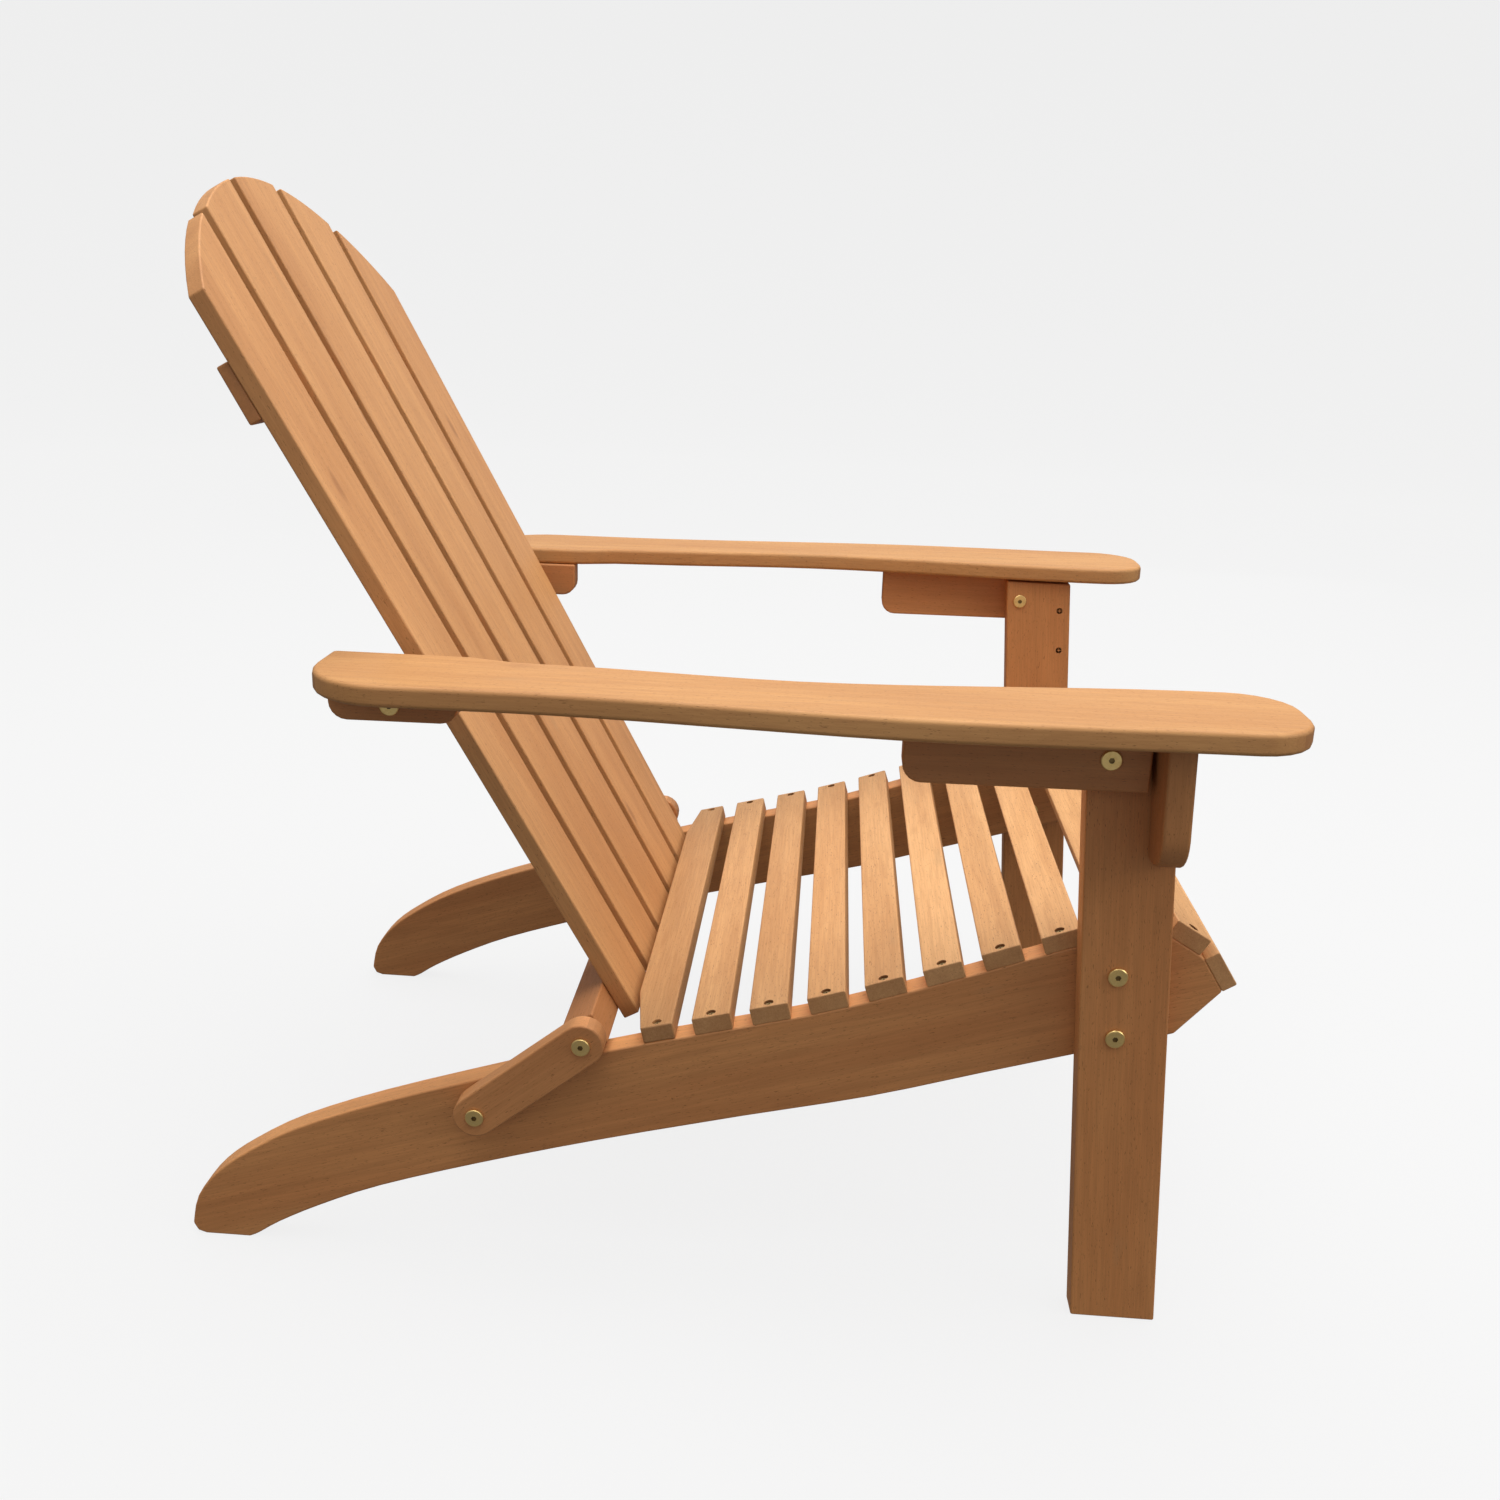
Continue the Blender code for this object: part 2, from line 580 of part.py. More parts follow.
def back_slat_outline(number):
    """(x, rise) of a back slat: straight edges that fan out and an arched top."""
    foot = -SLAT_END_BELOW
    low = slat_edges(number, foot)
    inner_rise, outer_rise = crossing(number, 0), crossing(number, 1)
    inner_x, outer_x = slat_edges(number, inner_rise)[0], slat_edges(number, outer_rise)[1]
    top = [outer_x + (inner_x - outer_x) * i / ARCH_STEPS for i in range(1, ARCH_STEPS)]
    return [(low[0], foot), (low[1], foot), (outer_x, outer_rise), *[(x, arch_rise(number, x)) for x in top],
            (inner_x, inner_rise)]


def make_back(wood, brass):
    pivot = frame("back_pivot", *foot_pivot(), RECLINE - math.pi / 2)
    rear_face = -BAR_SIZE / 2 - GAP
    names = {"right_outer": (2, -1), "right_inner": (1, -1), "centre": (0, 1), "left_inner": (1, 1),
             "left_outer": (2, 1)}
    for name, (number, side) in names.items():
        outline = back_slat_outline(number)
        faces = (rear_face - SLAT_THICK, rear_face)
        rings = [[(side * x, face, rise) for x, rise in outline] for face in faces]
        object_of(loft(rings), f"back_slat_{name}", wood["back"], pivot)
    foot_end = RAIL_OUTER
    arm_end = arm_rear_inner() - GAP
    for name, rise, end in (("lower_cross_bar", 0.0, foot_end), ("arm_cross_bar", ARM_BAR_RISE, arm_end)):
        half = BAR_SIZE / 2
        rings = [[(x, y, rise + z) for y, z in ((-half, -half), (half, -half), (half, half), (-half, half))]
                 for x in (-end, end)]
        bar = object_of(loft(rings), name, wood["small"], pivot)
        for word, side in SIDES.items():
            depth = end - INSERT_LENGTH - GAP
            bore(bar, (0, rise), side, [(depth, end + CUT_PAST, SLEEVE_RADIUS + BORE_GAP)])
            insert(f"{word}_{name}_insert", (0, rise), side, end, brass, pivot)
    make_batten(rear_face + GAP, wood, pivot)
    face = RAIL_OUTER + GAP + LINK_THICK
    tip = RAIL_OUTER - INSERT_LENGTH + NUT_WALL + TIP_GAP
    for word, side in SIDES.items():
        bolt(f"{word}_link_bolt_upper", (0, 0), side, face, tip, brass, pivot)


def make_batten(face, wood, pivot):
    """The upper batten, screwed to the rear faces of the slats."""
    low, high = BATTEN_RISE - BATTEN_HEIGHT / 2, BATTEN_RISE + BATTEN_HEIGHT / 2
    end = back_half_width(BATTEN_RISE) - BATTEN_INSET
    section = ((face, low), (face + BATTEN_THICK, low), (face + BATTEN_THICK, high), (face, high))
    rings = [[(x, *point) for point in section] for x in (-end, end)]
    object_of(loft(rings), "upper_batten", wood["small"], pivot)


def make_links(wood, brass):
    """Round-ended links outside the rails, each on a bolt through its rail."""
    away = foot_pivot() - Vector(LINK_PIVOT)
    turn = math.atan2(away.y, away.x)
    reach = away.length
    half = LINK_WIDTH / 2
    outline = arc((0, 0), half, 90, 270, 10) + arc((reach, 0), half, -90, 90, 10)
    near = RAIL_OUTER + GAP
    inner = RAIL_OUTER - RAIL_THICK
    for word, side in SIDES.items():
        pivot = frame(f"{word}_link_pivot", *LINK_PIVOT, turn)
        link = side_board(f"{word}_fold_link", outline, near, LINK_THICK, side, wood["small"], pivot)
        for along in (0, reach):
            bore(link, (along, 0), side, [(near - CUT_PAST, near + LINK_THICK + CUT_PAST, BORE_RADIUS)])
        bolt(f"{word}_link_bolt_lower", LINK_PIVOT, side, near + LINK_THICK, inner + TIP_BEHIND, brass)
        sleeve_nut(f"{word}_link_nut", LINK_PIVOT, side, inner, brass)


def centre_on_origin():
    """Moves the chair along Y until the middle of its box is over the origin."""
    bpy.context.view_layer.update()
    reach = [(obj.matrix_world @ vert.co).y for obj in bpy.data.objects
             if obj.type == "MESH" and not obj.hide_render for vert in obj.data.vertices]
    middle = (min(reach) + max(reach)) / 2
    for obj in bpy.data.objects:
        if obj.parent is None:
            obj.location.y -= middle


def main():
    clear_scene()
    wood = {name: principled(f"{name}_wood", colour, 0.55, 0.0) for name, colour in WOOD.items()}
    brass = principled("yellow_brass", (0.62, 0.47, 0.20), 0.32, 1.0)
    slats = seat_slats()
    make_rails(slats, wood)
    make_slats(slats, wood)
    make_legs(wood, brass)
    make_arms(wood, brass)
    make_back(wood, brass)
    make_links(wood, brass)
    centre_on_origin()


main()
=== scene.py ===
"""The finished look of a folding adirondack chair: eased and oiled hardwood boards, brass bolts and screws.

Every board is made from the frame's own solid, with its edges eased, so that it lies where the frame
says. Seat slats, bolts, sleeve nuts and screws are made by Geometry Nodes. Metres, +Z up.
"""

import logging
import math
from collections.abc import Iterable, Sequence
from dataclasses import dataclass, field
from enum import Enum

import bmesh
import bpy
import numpy as np
from mathutils import Matrix, Vector


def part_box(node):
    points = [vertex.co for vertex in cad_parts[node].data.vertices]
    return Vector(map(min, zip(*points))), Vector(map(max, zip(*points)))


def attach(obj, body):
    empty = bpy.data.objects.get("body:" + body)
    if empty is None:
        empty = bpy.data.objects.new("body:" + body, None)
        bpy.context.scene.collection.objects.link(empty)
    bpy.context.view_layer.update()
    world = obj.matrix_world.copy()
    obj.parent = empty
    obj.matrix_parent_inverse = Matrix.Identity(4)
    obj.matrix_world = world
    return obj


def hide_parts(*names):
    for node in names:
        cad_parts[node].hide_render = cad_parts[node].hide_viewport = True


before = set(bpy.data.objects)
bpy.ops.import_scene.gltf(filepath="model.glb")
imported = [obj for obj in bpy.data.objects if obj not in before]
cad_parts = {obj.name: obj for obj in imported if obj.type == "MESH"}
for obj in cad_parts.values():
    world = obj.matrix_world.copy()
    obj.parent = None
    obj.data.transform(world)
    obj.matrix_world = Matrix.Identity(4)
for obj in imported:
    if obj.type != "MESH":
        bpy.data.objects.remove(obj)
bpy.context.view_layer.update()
LOG = logging.getLogger("adirondack")

Socket = bpy.types.NodeSocket
Colour = tuple[float, float, float]

SHARP = math.radians(32)          # an edge that turns more than this is a board's edge
RIM_SPAN = 0.020                  # sharp edges that close within this span are a hole's rim
WELD = 1e-5                       # corners nearer than this are one corner
FLAT = math.radians(0.5)          # faces that turn less than this are one flat face
END_FACING = 0.8                  # a face this much along the grain is a sawn end
STANDING = 0.3                    # a board whose face looks up less than this stands on its edge
PAINTED_TOP_LIGHT = 0.38               # painted light: how much paler a standing board is painted where it looks straight up, for light from above


class Hand(Enum):
    """The two sides of the chair, as the sitter has them."""

    RIGHT = -1
    LEFT = 1

    @property
    def word(self) -> str:
        """The side's name, as node names start."""
        return self.name.lower()


class Body(Enum):
    """The bodies that pieces ride on."""

    FRAME = "frame"
    BACK = "back"
    RIGHT_ARM = "right_arm"
    LEFT_ARM = "left_arm"
    RIGHT_LINK = "right_link"
    LEFT_LINK = "left_link"


# ---------------------------------------------------------------- shader and geometry graphs


class Graph:
    """A node tree with short ways to add and join nodes."""

    def __init__(self, tree: bpy.types.NodeTree) -> None:
        """Wraps a tree.

        Args:
            tree: the shader or geometry tree that the nodes go into.
        """
        self.tree = tree

    def node(self, kind: str, **settings: object) -> bpy.types.Node:
        """Adds a node.

        Args:
            kind: the node's type name.
            settings: properties to set on it.

        Returns:
            The new node.
        """
        made = self.tree.nodes.new(kind)
        for name, value in settings.items():
            setattr(made, name, value)
        return made

    def feed(self, socket: Socket, value: object) -> None:
        """Links an output to this input, or sets the input's own value.

        Args:
            socket: the input.
            value: an output socket or a plain value.
        """
        if isinstance(value, bpy.types.NodeSocket):
            self.tree.links.new(value, socket)
        else:
            socket.default_value = value

    def math(self, operation: str, *values: object) -> Socket:
        """Adds a Math node of this operation on these values and returns its output.

        Args:
            operation: the node's operation.
            values: outputs or plain numbers.

        Returns:
            The result.
        """
        made = self.node("ShaderNodeMath", operation=operation)
        for socket, value in zip(made.inputs, values):
            self.feed(socket, value)
        return made.outputs[0]

    def mapped(self, vector: Socket, scale: Sequence[float]) -> Socket:
        """Returns the vector with each of its parts scaled.

        Args:
            vector: the vector.
            scale: a factor for each part.

        Returns:
            The scaled vector.
        """
        made = self.node("ShaderNodeMapping")
        self.feed(made.inputs["Vector"], vector)
        made.inputs["Scale"].default_value = tuple(scale)
        return made.outputs["Vector"]

    def noise(self, vector: Socket, scale: Sequence[float], detail: float = 3.0, rough: float = 0.5,
              distort: float = 0.0) -> Socket:
        """Returns noise whose cells are 1 / scale metres along each part of the vector.

        Args:
            vector: the coordinates that it reads.
            scale: cells a metre, along each part.
            detail: the number of finer layers.
            rough: how strong the finer layers are.
            distort: how far the cells are bent.

        Returns:
            The noise, 0 to 1.
        """
        made = self.node("ShaderNodeTexNoise")
        self.feed(made.inputs["Vector"], self.mapped(vector, scale))
        made.inputs["Scale"].default_value = 1.0
        made.inputs["Detail"].default_value = detail
        made.inputs["Roughness"].default_value = rough
        made.inputs["Distortion"].default_value = distort
        return made.outputs["Fac"]

    def ramp(self, value: Socket, low: float, high: float, start: float = 0.0, end: float = 1.0) -> Socket:
        """Maps low..high of a value to start..end, clamped.

        Args:
            value: the input.
            low: the value that becomes start.
            high: the value that becomes end.
            start: the result at low.
            end: the result at high.

        Returns:
            The mapped value.
        """
        made = self.node("ShaderNodeMapRange", clamp=True, interpolation_type="SMOOTHSTEP")
        for name, number in (("From Min", low), ("From Max", high), ("To Min", start), ("To Max", end)):
            made.inputs[name].default_value = number
        self.feed(made.inputs["Value"], value)
        return made.outputs["Result"]

    def mix(self, factor: object, first: object, second: object, blend: str = "MIX") -> Socket:
        """Mixes two colours by a factor.

        Args:
            factor: 0 for the first colour and 1 for the second.
            first: a colour or an output.
            second: a colour or an output.
            blend: the way that the second goes on the first.

        Returns:
            The mixed colour.
        """
        made = self.node("ShaderNodeMix", data_type="RGBA", blend_type=blend)
        for socket, value in zip((made.inputs[0], made.inputs[6], made.inputs[7]), (factor, first, second)):
            if isinstance(value, tuple) and len(value) == 3:
                value = (*value, 1.0)
            self.feed(socket, value)
        return made.outputs[2]


def shader_of(name: str) -> tuple[bpy.types.Material, Graph, bpy.types.Node]:
    """Returns a new material, its graph and its Principled shader.

    Args:
        name: the material's name.

    Returns:
        The material, its graph and its shader node.
    """
    material = bpy.data.materials.new(name)
    material.use_nodes = True
    return material, Graph(material.node_tree), material.node_tree.nodes["Principled BSDF"]


# ---------------------------------------------------------------- finishes


@dataclass(frozen=True)
class OiledWood:
    """Close-grained eucalyptus under outdoor oil: soft growth bands, short dark pores and a few knots."""

    name: str
    pale: Colour = (0.70, 0.385, 0.165)
    tan: Colour = (0.59, 0.295, 0.115)
    brown: Colour = (0.36, 0.150, 0.052)
    pore_and_hole_shade: Colour = (0.19, 0.075, 0.026)
    smudge: Colour = (0.40, 0.235, 0.110)
    band_depth: float = 0.55
    knots: float = 1.0
    end_depth: float = 1.0

    def material(self) -> bpy.types.Material:
        """Builds the wood on each board's own coordinates, x along the grain.

        Returns:
            The material.
        """
        material, g, shader = shader_of(self.name)
        board = g.node("ShaderNodeAttribute", attribute_name="board").outputs["Vector"]
        ends = g.node("ShaderNodeAttribute", attribute_name="end_grain").outputs["Fac"]

        drift = g.ramp(g.noise(board, (2.2, 16, 16), 3, 0.55), 0.34, 0.68)
        bands = g.ramp(g.noise(board, (3.0, 115, 70), 3, 0.5, 0.35), 0.36, 0.66)
        flame = g.ramp(g.noise(board, (7.0, 46, 46), 2, 0.5, 0.9), 0.50, 0.72)
        streak = g.ramp(g.noise(board, (24, 700, 700), 2, 0.6), 0.38, 0.66)
        fibre = g.noise(board, (60, 1900, 1900), 2, 0.6)
        pore_noise = g.noise(board, (230, 1500, 1500), 1, 0.5)
        pores = g.ramp(pore_noise, 0.655, 0.735)

        colour = g.mix(drift, self.pale, self.tan)
        colour = g.mix(g.math("MULTIPLY", bands, 0.34 * self.band_depth), colour, self.brown)
        colour = g.mix(g.math("MULTIPLY", flame, 0.26 * self.band_depth), colour, self.brown)
        colour = g.mix(g.math("MULTIPLY", streak, 0.24), colour, self.brown)
        colour = g.mix(g.math("MULTIPLY", pores, 0.62), colour, self.pore_and_hole_shade)
        smudges = g.ramp(g.noise(board, (9, 30, 30), 2, 0.6), 0.66, 0.80, 0.0, 0.34)
        colour = g.mix(smudges, colour, self.smudge)
        colour = g.mix(self.knot_mask(g, board), colour, self.brown)
        end_share = g.math("MULTIPLY", self.end_rings(g, board), self.end_depth)
        colour = g.mix(g.math("MULTIPLY", ends, end_share), colour, self.brown)
        # Painted shade: faces that the screw-hole cutters leave are darkened, for the shade in the holes.
        hollow_shade = g.node("ShaderNodeAttribute", attribute_name="hollow_shade").outputs["Fac"]
        colour = g.mix(g.math("MULTIPLY", hollow_shade, 0.75), colour, self.pore_and_hole_shade)
        # The tone holds each board's own tone, painted shade on the rear seat slats and the left front leg,
        # and painted light on the up-facing faces of boards on edge.
        tone = g.node("ShaderNodeAttribute", attribute_name="tone").outputs["Fac"]
        shade = g.node("ShaderNodeCombineColor")
        for channel, power in (("Red", 0.85), ("Green", 1.0), ("Blue", 1.15)):
            g.feed(shade.inputs[channel], g.math("POWER", tone, power))
        g.feed(shader.inputs["Base Color"], g.mix(1.0, colour, shade.outputs["Color"], "MULTIPLY"))
        rough = g.ramp(fibre, 0.3, 0.7, 0.46, 0.60)
        g.feed(shader.inputs["Roughness"], g.math("ADD", rough, g.math("MULTIPLY", pores, 0.12)))
        shader.inputs["Specular IOR Level"].default_value = 0.26
        shader.inputs["Coat Weight"].default_value = 0.04
        shader.inputs["Coat Roughness"].default_value = 0.42

        relief = g.math("SUBTRACT", g.math("MULTIPLY", fibre, 0.55), pores)
        relief = g.math("ADD", relief, g.math("MULTIPLY", bands, 0.25))
        bump = g.node("ShaderNodeBump")
        bump.inputs["Strength"].default_value = 0.30
        bump.inputs["Distance"].default_value = 0.00035
        g.feed(bump.inputs["Height"], relief)
        g.feed(shader.inputs["Normal"], bump.outputs["Normal"])
        return material

    def knot_mask(self, g: Graph, board: Socket) -> Socket:
        """Returns how much of a small knot shows, with the grain bending round it.

        Args:
            g: the material's graph.
            board: the board's own coordinates.

        Returns:
            The share of knot, 0 for none.
        """
        cells = g.node("ShaderNodeTexVoronoi", feature="F1")
        warp = g.node("ShaderNodeTexNoise")
        g.feed(warp.inputs["Vector"], g.mapped(board, (60, 160, 160)))
        warp.inputs["Scale"].default_value = 1.0
        bent = g.node("ShaderNodeVectorMath", operation="MULTIPLY_ADD")
        g.feed(bent.inputs[0], warp.outputs["Color"])
        bent.inputs[1].default_value = (0.05, 0.05, 0.05)
        g.feed(bent.inputs[2], g.mapped(board, (5.2, 13, 13)))
        g.feed(cells.inputs["Vector"], bent.outputs[0])
        cells.inputs["Scale"].default_value = 1.0
        core = g.ramp(cells.outputs["Distance"], 0.03, 0.10, 0.75, 0.0)
        return g.math("MULTIPLY", core, self.knots)

    def end_rings(self, g: Graph, board: Socket) -> Socket:
        """Returns the darkening of sawn ends, with the growth rings cut across.

        Args:
            g: the material's graph.
            board: the board's own coordinates.

        Returns:
            The share of darkening.
        """
        rings = g.noise(board, (3, 260, 420), 3, 0.55, 0.4)
        return g.ramp(rings, 0.36, 0.64, 0.46, 0.68)


@dataclass(frozen=True)
class YellowBrass:
    """Yellow-passivated steel or brass hardware, dulled by handling."""

    name: str
    bright: Colour = (0.92, 0.665, 0.270)
    dull: Colour = (0.66, 0.440, 0.160)
    recess_shade: Colour = (0.10, 0.060, 0.025)
    roughness: float = 0.34

    def material(self) -> bpy.types.Material:
        """Builds the metal on Object coordinates.

        Returns:
            The material.
        """
        material, g, shader = shader_of(self.name)
        place = g.node("ShaderNodeTexCoord").outputs["Object"]
        tarnish = g.ramp(g.noise(place, (160, 160, 160), 4, 0.6), 0.42, 0.70)
        brushed = g.noise(place, (900, 5200, 900), 2, 0.5)
        metal = g.mix(g.math("MULTIPLY", tarnish, 0.55), self.bright, self.dull)
        # Painted shade: faces of the hex sockets and cross recesses are darkened, for the shade in them.
        hollow_shade = g.node("ShaderNodeAttribute", attribute_name="hollow_shade").outputs["Fac"]
        metal = g.mix(g.math("MULTIPLY", hollow_shade, 0.85), metal, self.recess_shade)
        g.feed(shader.inputs["Base Color"], metal)
        worn = g.math("MULTIPLY", tarnish, 0.16)
        g.feed(shader.inputs["Roughness"], g.math("ADD", worn, self.roughness))
        shader.inputs["Metallic"].default_value = 1.0
        bump = g.node("ShaderNodeBump")
        bump.inputs["Strength"].default_value = 0.12
        bump.inputs["Distance"].default_value = 0.0001
        g.feed(bump.inputs["Height"], brushed)
        g.feed(shader.inputs["Normal"], bump.outputs["Normal"])
        return material


@dataclass(frozen=True)
class StudioPaper:
    """A pale seamless ground that keeps a light shadow."""

    name: str = "studio_paper"
    tone: float = 0.05
    glow: float = 0.83

    def material(self) -> bpy.types.Material:
        """Returns the paper's material.

        Returns:
            The material.
        """
        material, _, shader = shader_of(self.name)
        shader.inputs["Base Color"].default_value = (self.tone, self.tone, self.tone, 1)
        shader.inputs["Roughness"].default_value = 0.9
        shader.inputs["Emission Color"].default_value = (1, 1, 1, 1)
        shader.inputs["Emission Strength"].default_value = self.glow
        return material


@dataclass(frozen=True)
class Palette:
    """The chair's finishes, one for each kind of piece; the woods are lit and shaded copies of one wood,
    which is painted light and shade.
    """

    rail: bpy.types.Material
    slat: bpy.types.Material
    leg: bpy.types.Material
    arm: bpy.types.Material
    back: bpy.types.Material
    small: bpy.types.Material
    brass: bpy.types.Material
    screw: bpy.types.Material

    @classmethod
    def mixed(cls) -> "Palette":
        """Returns the palette with every material built.

        Returns:
            The palette, its finishes in the order of its fields.
        """
        # Painted light and shade: one wood in copies, paler for the lit slats and darker, more saturated
        # for the rails, legs, arms, back and small pieces.
        woods = (
            OiledWood("rail_wood", (0.66, 0.295, 0.106), (0.56, 0.228, 0.078), band_depth=0.8, knots=0.6),
            OiledWood("slat_wood", (0.73, 0.410, 0.180), (0.64, 0.335, 0.137), end_depth=0.5),
            OiledWood("leg_wood", (0.70, 0.308, 0.108), (0.60, 0.243, 0.081), band_depth=0.45, knots=0.4),
            OiledWood("arm_wood", (0.59, 0.304, 0.112), (0.51, 0.246, 0.086), band_depth=0.5, knots=0.5),
            OiledWood("back_wood", (0.64, 0.318, 0.122), (0.53, 0.242, 0.086), end_depth=0.0),
            OiledWood("small_wood", (0.58, 0.255, 0.094), (0.49, 0.198, 0.069), band_depth=0.6, knots=0.5),
        )
        metals = (
            YellowBrass("yellow_brass"),
            YellowBrass("screw_brass", (0.60, 0.45, 0.22), (0.34, 0.23, 0.10), roughness=0.42),
        )
        return cls(*(finish.material() for finish in (*woods, *metals)))


# ---------------------------------------------------------------- boards


@dataclass(frozen=True)
class BoardFrame:
    """A board's own axes: grain, across and face, from its middle, with its size along each."""

    middle: Vector
    axes: Matrix
    size: Vector

    @classmethod
    def of(cls, mesh: bpy.types.Mesh, up: Vector = Vector((0, 0, 1))) -> "BoardFrame":
        """Finds a board's axes from the spread of its surface.

        Args:
            mesh: the board's mesh, in place.
            up: the side that its face axis looks to.

        Returns:
            The board's frame.
        """
        mesh.calc_loop_triangles()
        count = len(mesh.loop_triangles)
        points = np.array([vert.co for vert in mesh.vertices], float)
        corners = np.empty(count * 3, np.int32)
        areas = np.empty(count, np.float32)
        mesh.loop_triangles.foreach_get("vertices", corners)
        mesh.loop_triangles.foreach_get("area", areas)
        triangles = points[corners.reshape(-1, 3)]
        centre = (triangles.mean(axis=1) * areas[:, None]).sum(axis=0) / areas.sum()
        spread = triangles - centre
        sums = spread.sum(axis=1)
        moment = np.einsum("t,tci,tcj->ij", areas, spread, spread)
        moment += np.einsum("t,ti,tj->ij", areas, sums, sums)
        _, axes = np.linalg.eigh(moment)
        grain, face = Vector(axes[:, 2]), Vector(axes[:, 0])
        grain = grain if grain[max(range(3), key=lambda i: abs(grain[i]))] > 0 else -grain
        face = face if face.dot(up) > 0 or (face.dot(up) == 0 and face.x > 0) else -face
        turn = Matrix((grain, face.cross(grain), face)).to_3x3()
        local = (points - centre) @ np.array(turn).T
        low, high = local.min(axis=0), local.max(axis=0)
        middle = Vector(centre) + turn.transposed() @ Vector((low + high) / 2)
        return cls(middle, turn, Vector(high - low))

    def place(self) -> Matrix:
        """Returns the matrix from the board's own coordinates to the chair's."""
        return Matrix.Translation(self.middle) @ self.axes.transposed().to_4x4()

    def point(self, along: float, across: float, out: float) -> Vector:
        """Returns the chair's point at these board coordinates."""
        return self.place() @ Vector((along, across, out))


def stamp_grain(mesh: bpy.types.Mesh, board: BoardFrame, number: int, tone: float) -> None:
    """Writes the coordinates that the wood reads, each board cut from its own stretch of timber, and each
    face's tone, with painted light on the up-facing faces of boards on edge.

    Args:
        mesh: the board's finished mesh, in place.
        board: the board's axes.
        number: the board's number in the chair, which picks its stretch.
        tone: how light the board is beside its neighbours, about 1; below 1 it is painted shade.
    """
    points = np.array([vert.co for vert in mesh.vertices], float) - np.array(board.middle)
    local = points @ np.array(board.axes).T
    chance = np.random.default_rng(1000 + number)
    stretch = chance.uniform(-40, 40, 3)
    values = mesh.attributes.new("board", "FLOAT_VECTOR", "POINT")
    values.data.foreach_set("vector", (local + stretch).astype(np.float32).ravel())
    normals = np.array([face.normal for face in mesh.polygons], float)
    across = np.abs(normals @ np.array(board.axes[0])) > END_FACING
    ends = mesh.attributes.new("end_grain", "FLOAT", "FACE")
    ends.data.foreach_set("value", across.astype(np.float32))
    own = tone * chance.uniform(0.95, 1.04)
    # Painted light: the up-facing faces of a board on edge are painted paler, for light from above.
    top_light_share = PAINTED_TOP_LIGHT if abs(board.axes[2].z) < STANDING else 0.0
    painted_top_light = top_light_share * np.clip(normals[:, 2], 0, 1) ** 2
    tones_and_painted_light = mesh.attributes.new("tone", "FLOAT", "FACE")
    tones_and_painted_light.data.foreach_set("value", (own * (1 + painted_top_light)).astype(np.float32))


def board_edges(bm: bmesh.types.BMesh) -> list[bmesh.types.BMEdge]:
    """Returns the sharp edges that bound the board itself, without the rims of its holes.

    Args:
        bm: the board, with flat faces.

    Returns:
        The edges to round.
    """
    sharp = {edge for edge in bm.edges if edge.is_manifold and edge.calc_face_angle(0) > SHARP}
    kept = []
    while sharp:
        run = [sharp.pop()]
        for edge in run:
            near = {other for vert in edge.verts for other in vert.link_edges} & sharp
            sharp -= near
            run += near
        places = [vert.co for edge in run for vert in edge.verts]
        span = max(max(p[i] for p in places) - min(p[i] for p in places) for i in range(3))
        if span > RIM_SPAN:
            kept += run
    return kept


def ease(bm: bmesh.types.BMesh, radius: float) -> None:
    """Rounds a board's edges, as a router and sandpaper leave them.

    Args:
        bm: the board, closed, with flat faces.
        radius: how far the rounding reaches.
    """
    bmesh.ops.bevel(bm, geom=board_edges(bm), offset=radius, offset_type="OFFSET", segments=4,
                    profile=0.5, affect="EDGES", clamp_overlap=False)


def flatten_shading(mesh: bpy.types.Mesh) -> None:
    """Weighs each corner's normal by area, so that flat faces stay flat beside rounded edges.

    Args:
        mesh: a smooth mesh, which gets its own normals.
    """
    normals = np.array([face.normal for face in mesh.polygons], float)
    areas = np.array([face.area for face in mesh.polygons], float)
    corners = [(loop, face.index) for face in mesh.polygons for loop in face.loop_indices]
    round_vert: dict[int, list[int]] = {}
    for loop, face in corners:
        round_vert.setdefault(mesh.loops[loop].vertex_index, []).append(face)
    turned = np.empty((len(mesh.loops), 3))
    for loop, face in corners:
        near = round_vert[mesh.loops[loop].vertex_index]
        near = [other for other in near if normals[other] @ normals[face] > math.cos(SHARP)]
        turned[loop] = (normals[near] * areas[near][:, None]).sum(axis=0)
    turned /= np.linalg.norm(turned, axis=1)[:, None]
    mesh.normals_split_custom_set(turned.tolist())


def finished(mesh: bpy.types.Mesh, name: str, material: bpy.types.Material) -> bpy.types.Object:
    """Returns an object of this mesh, smooth but for its sharp edges, in this material.

    Args:
        mesh: the finished mesh.
        name: the object's name.
        material: its finish.

    Returns:
        The object.
    """
    mesh.name = name
    mesh.shade_smooth()
    mesh.set_sharp_from_angle(angle=SHARP)
    flatten_shading(mesh)
    mesh.materials.clear()
    mesh.materials.append(material)
    made = bpy.data.objects.new(name, mesh)
    bpy.context.scene.collection.objects.link(made)
    return made


def stand_for(piece: bpy.types.Object, body: Body, slot: str, *nodes: str) -> bpy.types.Object:
    """Puts a finished piece on its body, in place of these nodes of the frame.

    Args:
        piece: the finished piece.
        body: the body that it rides on.
        slot: not used.
        nodes: the frame's nodes that it stands for.

    Returns:
        The piece.
    """
    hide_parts(*nodes)
    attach(piece, body.value)
    return piece


